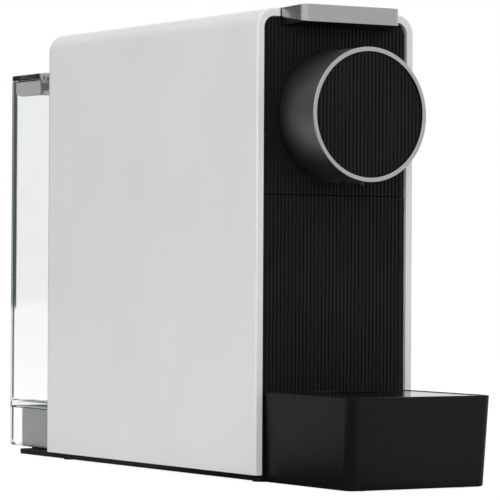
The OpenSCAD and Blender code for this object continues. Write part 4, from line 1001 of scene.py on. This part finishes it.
def build_world():
    """Even light for the surfaces, white for the eye, and a studio with a dark corner for reflections."""
    world = bpy.data.worlds.new("studio")
    bpy.context.scene.world = world
    world.use_nodes = True
    tree = world.node_tree
    tree.nodes.clear()
    out = tree.nodes.new("ShaderNodeOutputWorld")
    path = tree.nodes.new("ShaderNodeLightPath")
    coords = tree.nodes.new("ShaderNodeTexCoord")

    def toward(*window):
        return turned_to(tree, coords.outputs["Generated"], *window)

    height = tree.nodes.new("ShaderNodeSeparateXYZ")
    tree.links.new(coords.outputs["Generated"], height.inputs[0])

    def climb(low, high):
        """A value that goes from 0 to 1 as the ray rises from the level."""
        spread = tree.nodes.new("ShaderNodeMapRange")
        spread.inputs["From Min"].default_value = low
        spread.inputs["From Max"].default_value = high
        tree.links.new(height.outputs["Z"], spread.inputs["Value"])
        return spread.outputs["Result"]

    def background(colour, strength):
        made = tree.nodes.new("ShaderNodeBackground")
        made.inputs["Color"].default_value = (*colour, 1)
        if hasattr(strength, "is_linked"):
            tree.links.new(strength, made.inputs["Strength"])
        else:
            made.inputs["Strength"].default_value = strength
        return made.outputs[0]

    def product(first, second):
        made = tree.nodes.new("ShaderNodeMath")
        made.operation = "MULTIPLY"
        tree.links.new(first, made.inputs[0])
        tree.links.new(second, made.inputs[1])
        return made.outputs[0]

    mirrored = product(toward(*MIRROR_REAR, MIRROR_FRONT), toward(*MIRROR_CORNER, MIRROR_DARK, 1.0))
    mirrored = product(mirrored, toward(*MIRROR_STRIPE, 1.0))
    white = (1, 1, 1)
    shown = blend(tree, path.outputs["Is Camera Ray"], background(white, SOFT_LEVEL), background(white, 1.0))
    mirror = blend(tree, climb(*MIRROR_STEEP), background(white, mirrored), background(white, MIRROR_TOP))
    shown = blend(tree, path.outputs["Is Glossy Ray"], shown, mirror)
    through = blend(tree, toward(*THROUGH_WINDOW, 1.0, 0.0), background(THROUGH_DARK, 1.0),
                    background(white, 1.0))
    through = blend(tree, climb(*THROUGH_STEEP), through, background(white, 1.0))
    shown = blend(tree, path.outputs["Is Transmission Ray"], shown, through)
    tree.links.new(shown, out.inputs["Surface"])


def build_floor():
    """A pale floor that goes over into the white background and still takes the machine's shadow."""
    bm = bmesh.new()
    corners = ((-1, -1), (1, -1), (1, 1), (-1, 1))
    bm.faces.new([bm.verts.new((x * FLOOR_HALF, y * FLOOR_HALF, 0)) for x, y in corners])
    mesh = bpy.data.meshes.new("floor")
    bm.to_mesh(mesh)
    bm.free()
    floor = bpy.data.objects.new("floor", mesh)
    bpy.context.scene.collection.objects.link(floor)
    material = bpy.data.materials.new("floor")
    material.use_nodes = True
    tree = material.node_tree
    tree.nodes.clear()
    out = tree.nodes.new("ShaderNodeOutputMaterial")
    diffuse = tree.nodes.new("ShaderNodeBsdfDiffuse")
    diffuse.inputs["Color"].default_value = linear(FLOOR_GREY)
    lit = tree.nodes.new("ShaderNodeBsdfDiffuse")
    lit.inputs["Color"].default_value = linear(FLOOR_SEEN_GREY)
    glow = tree.nodes.new("ShaderNodeEmission")
    glow.inputs["Color"].default_value = (1, 1, 1, 1)
    glow.inputs["Strength"].default_value = FLOOR_GLOW
    seen_shader = tree.nodes.new("ShaderNodeAddShader")
    tree.links.new(lit.outputs[0], seen_shader.inputs[0])
    tree.links.new(glow.outputs[0], seen_shader.inputs[1])
    path = tree.nodes.new("ShaderNodeLightPath")
    coords = tree.nodes.new("ShaderNodeTexCoord")
    shade = tree.nodes.new("ShaderNodeBsdfDiffuse")
    shade.inputs["Color"].default_value = linear(FLOOR_SHADE_GREY)
    dark = tree.nodes.new("ShaderNodeEmission")
    dark.inputs["Color"].default_value = (*THROUGH_DARK, 1)
    from_tank = tree.nodes.new("ShaderNodeVectorMath")
    from_tank.operation = "SUBTRACT"
    from_tank.inputs[1].default_value = (-TANK_HALF * MM, (TANK_REAR + PANEL_Y) * MM, 0)
    tree.links.new(coords.outputs["Object"], from_tank.inputs[0])

    mirrored = blend(tree, turned_to(tree, coords.outputs["Object"], *FLOOR_SHADE), diffuse.outputs[0],
                     shade.outputs[0])
    distance = tree.nodes.new("ShaderNodeVectorMath")
    distance.operation = "LENGTH"
    tree.links.new(from_tank.outputs[0], distance.inputs[0])
    away = tree.nodes.new("ShaderNodeMapRange")
    away.inputs["From Min"].default_value, away.inputs["From Max"].default_value = FLOOR_NEAR
    tree.links.new(distance.outputs["Value"], away.inputs["Value"])
    through = blend(tree, turned_to(tree, from_tank.outputs[0], *FLOOR_DARK), seen_shader.outputs[0],
                    dark.outputs[0])
    through = blend(tree, away.outputs["Result"], seen_shader.outputs[0], through)
    surface = blend(tree, path.outputs["Is Camera Ray"], diffuse.outputs[0], seen_shader.outputs[0])
    surface = blend(tree, path.outputs["Is Glossy Ray"], surface, mirrored)
    surface = blend(tree, path.outputs["Is Transmission Ray"], surface, through)
    tree.links.new(surface, out.inputs["Surface"])
    mesh.materials.append(material)


build_world()
build_floor()
area_light("left_box", (-1.7, 0.1, 0.6), (0, 0, 0.12), (1.2, 0.9), 8)
area_light("front_box", (-0.5, -1.9, 0.7), (0, 0, 0.12), (1.2, 1.0), 12)
area_light("top_box", (0.2, 0.1, 1.7), (0, 0, 0.1), (1.2, 1.2), 8)
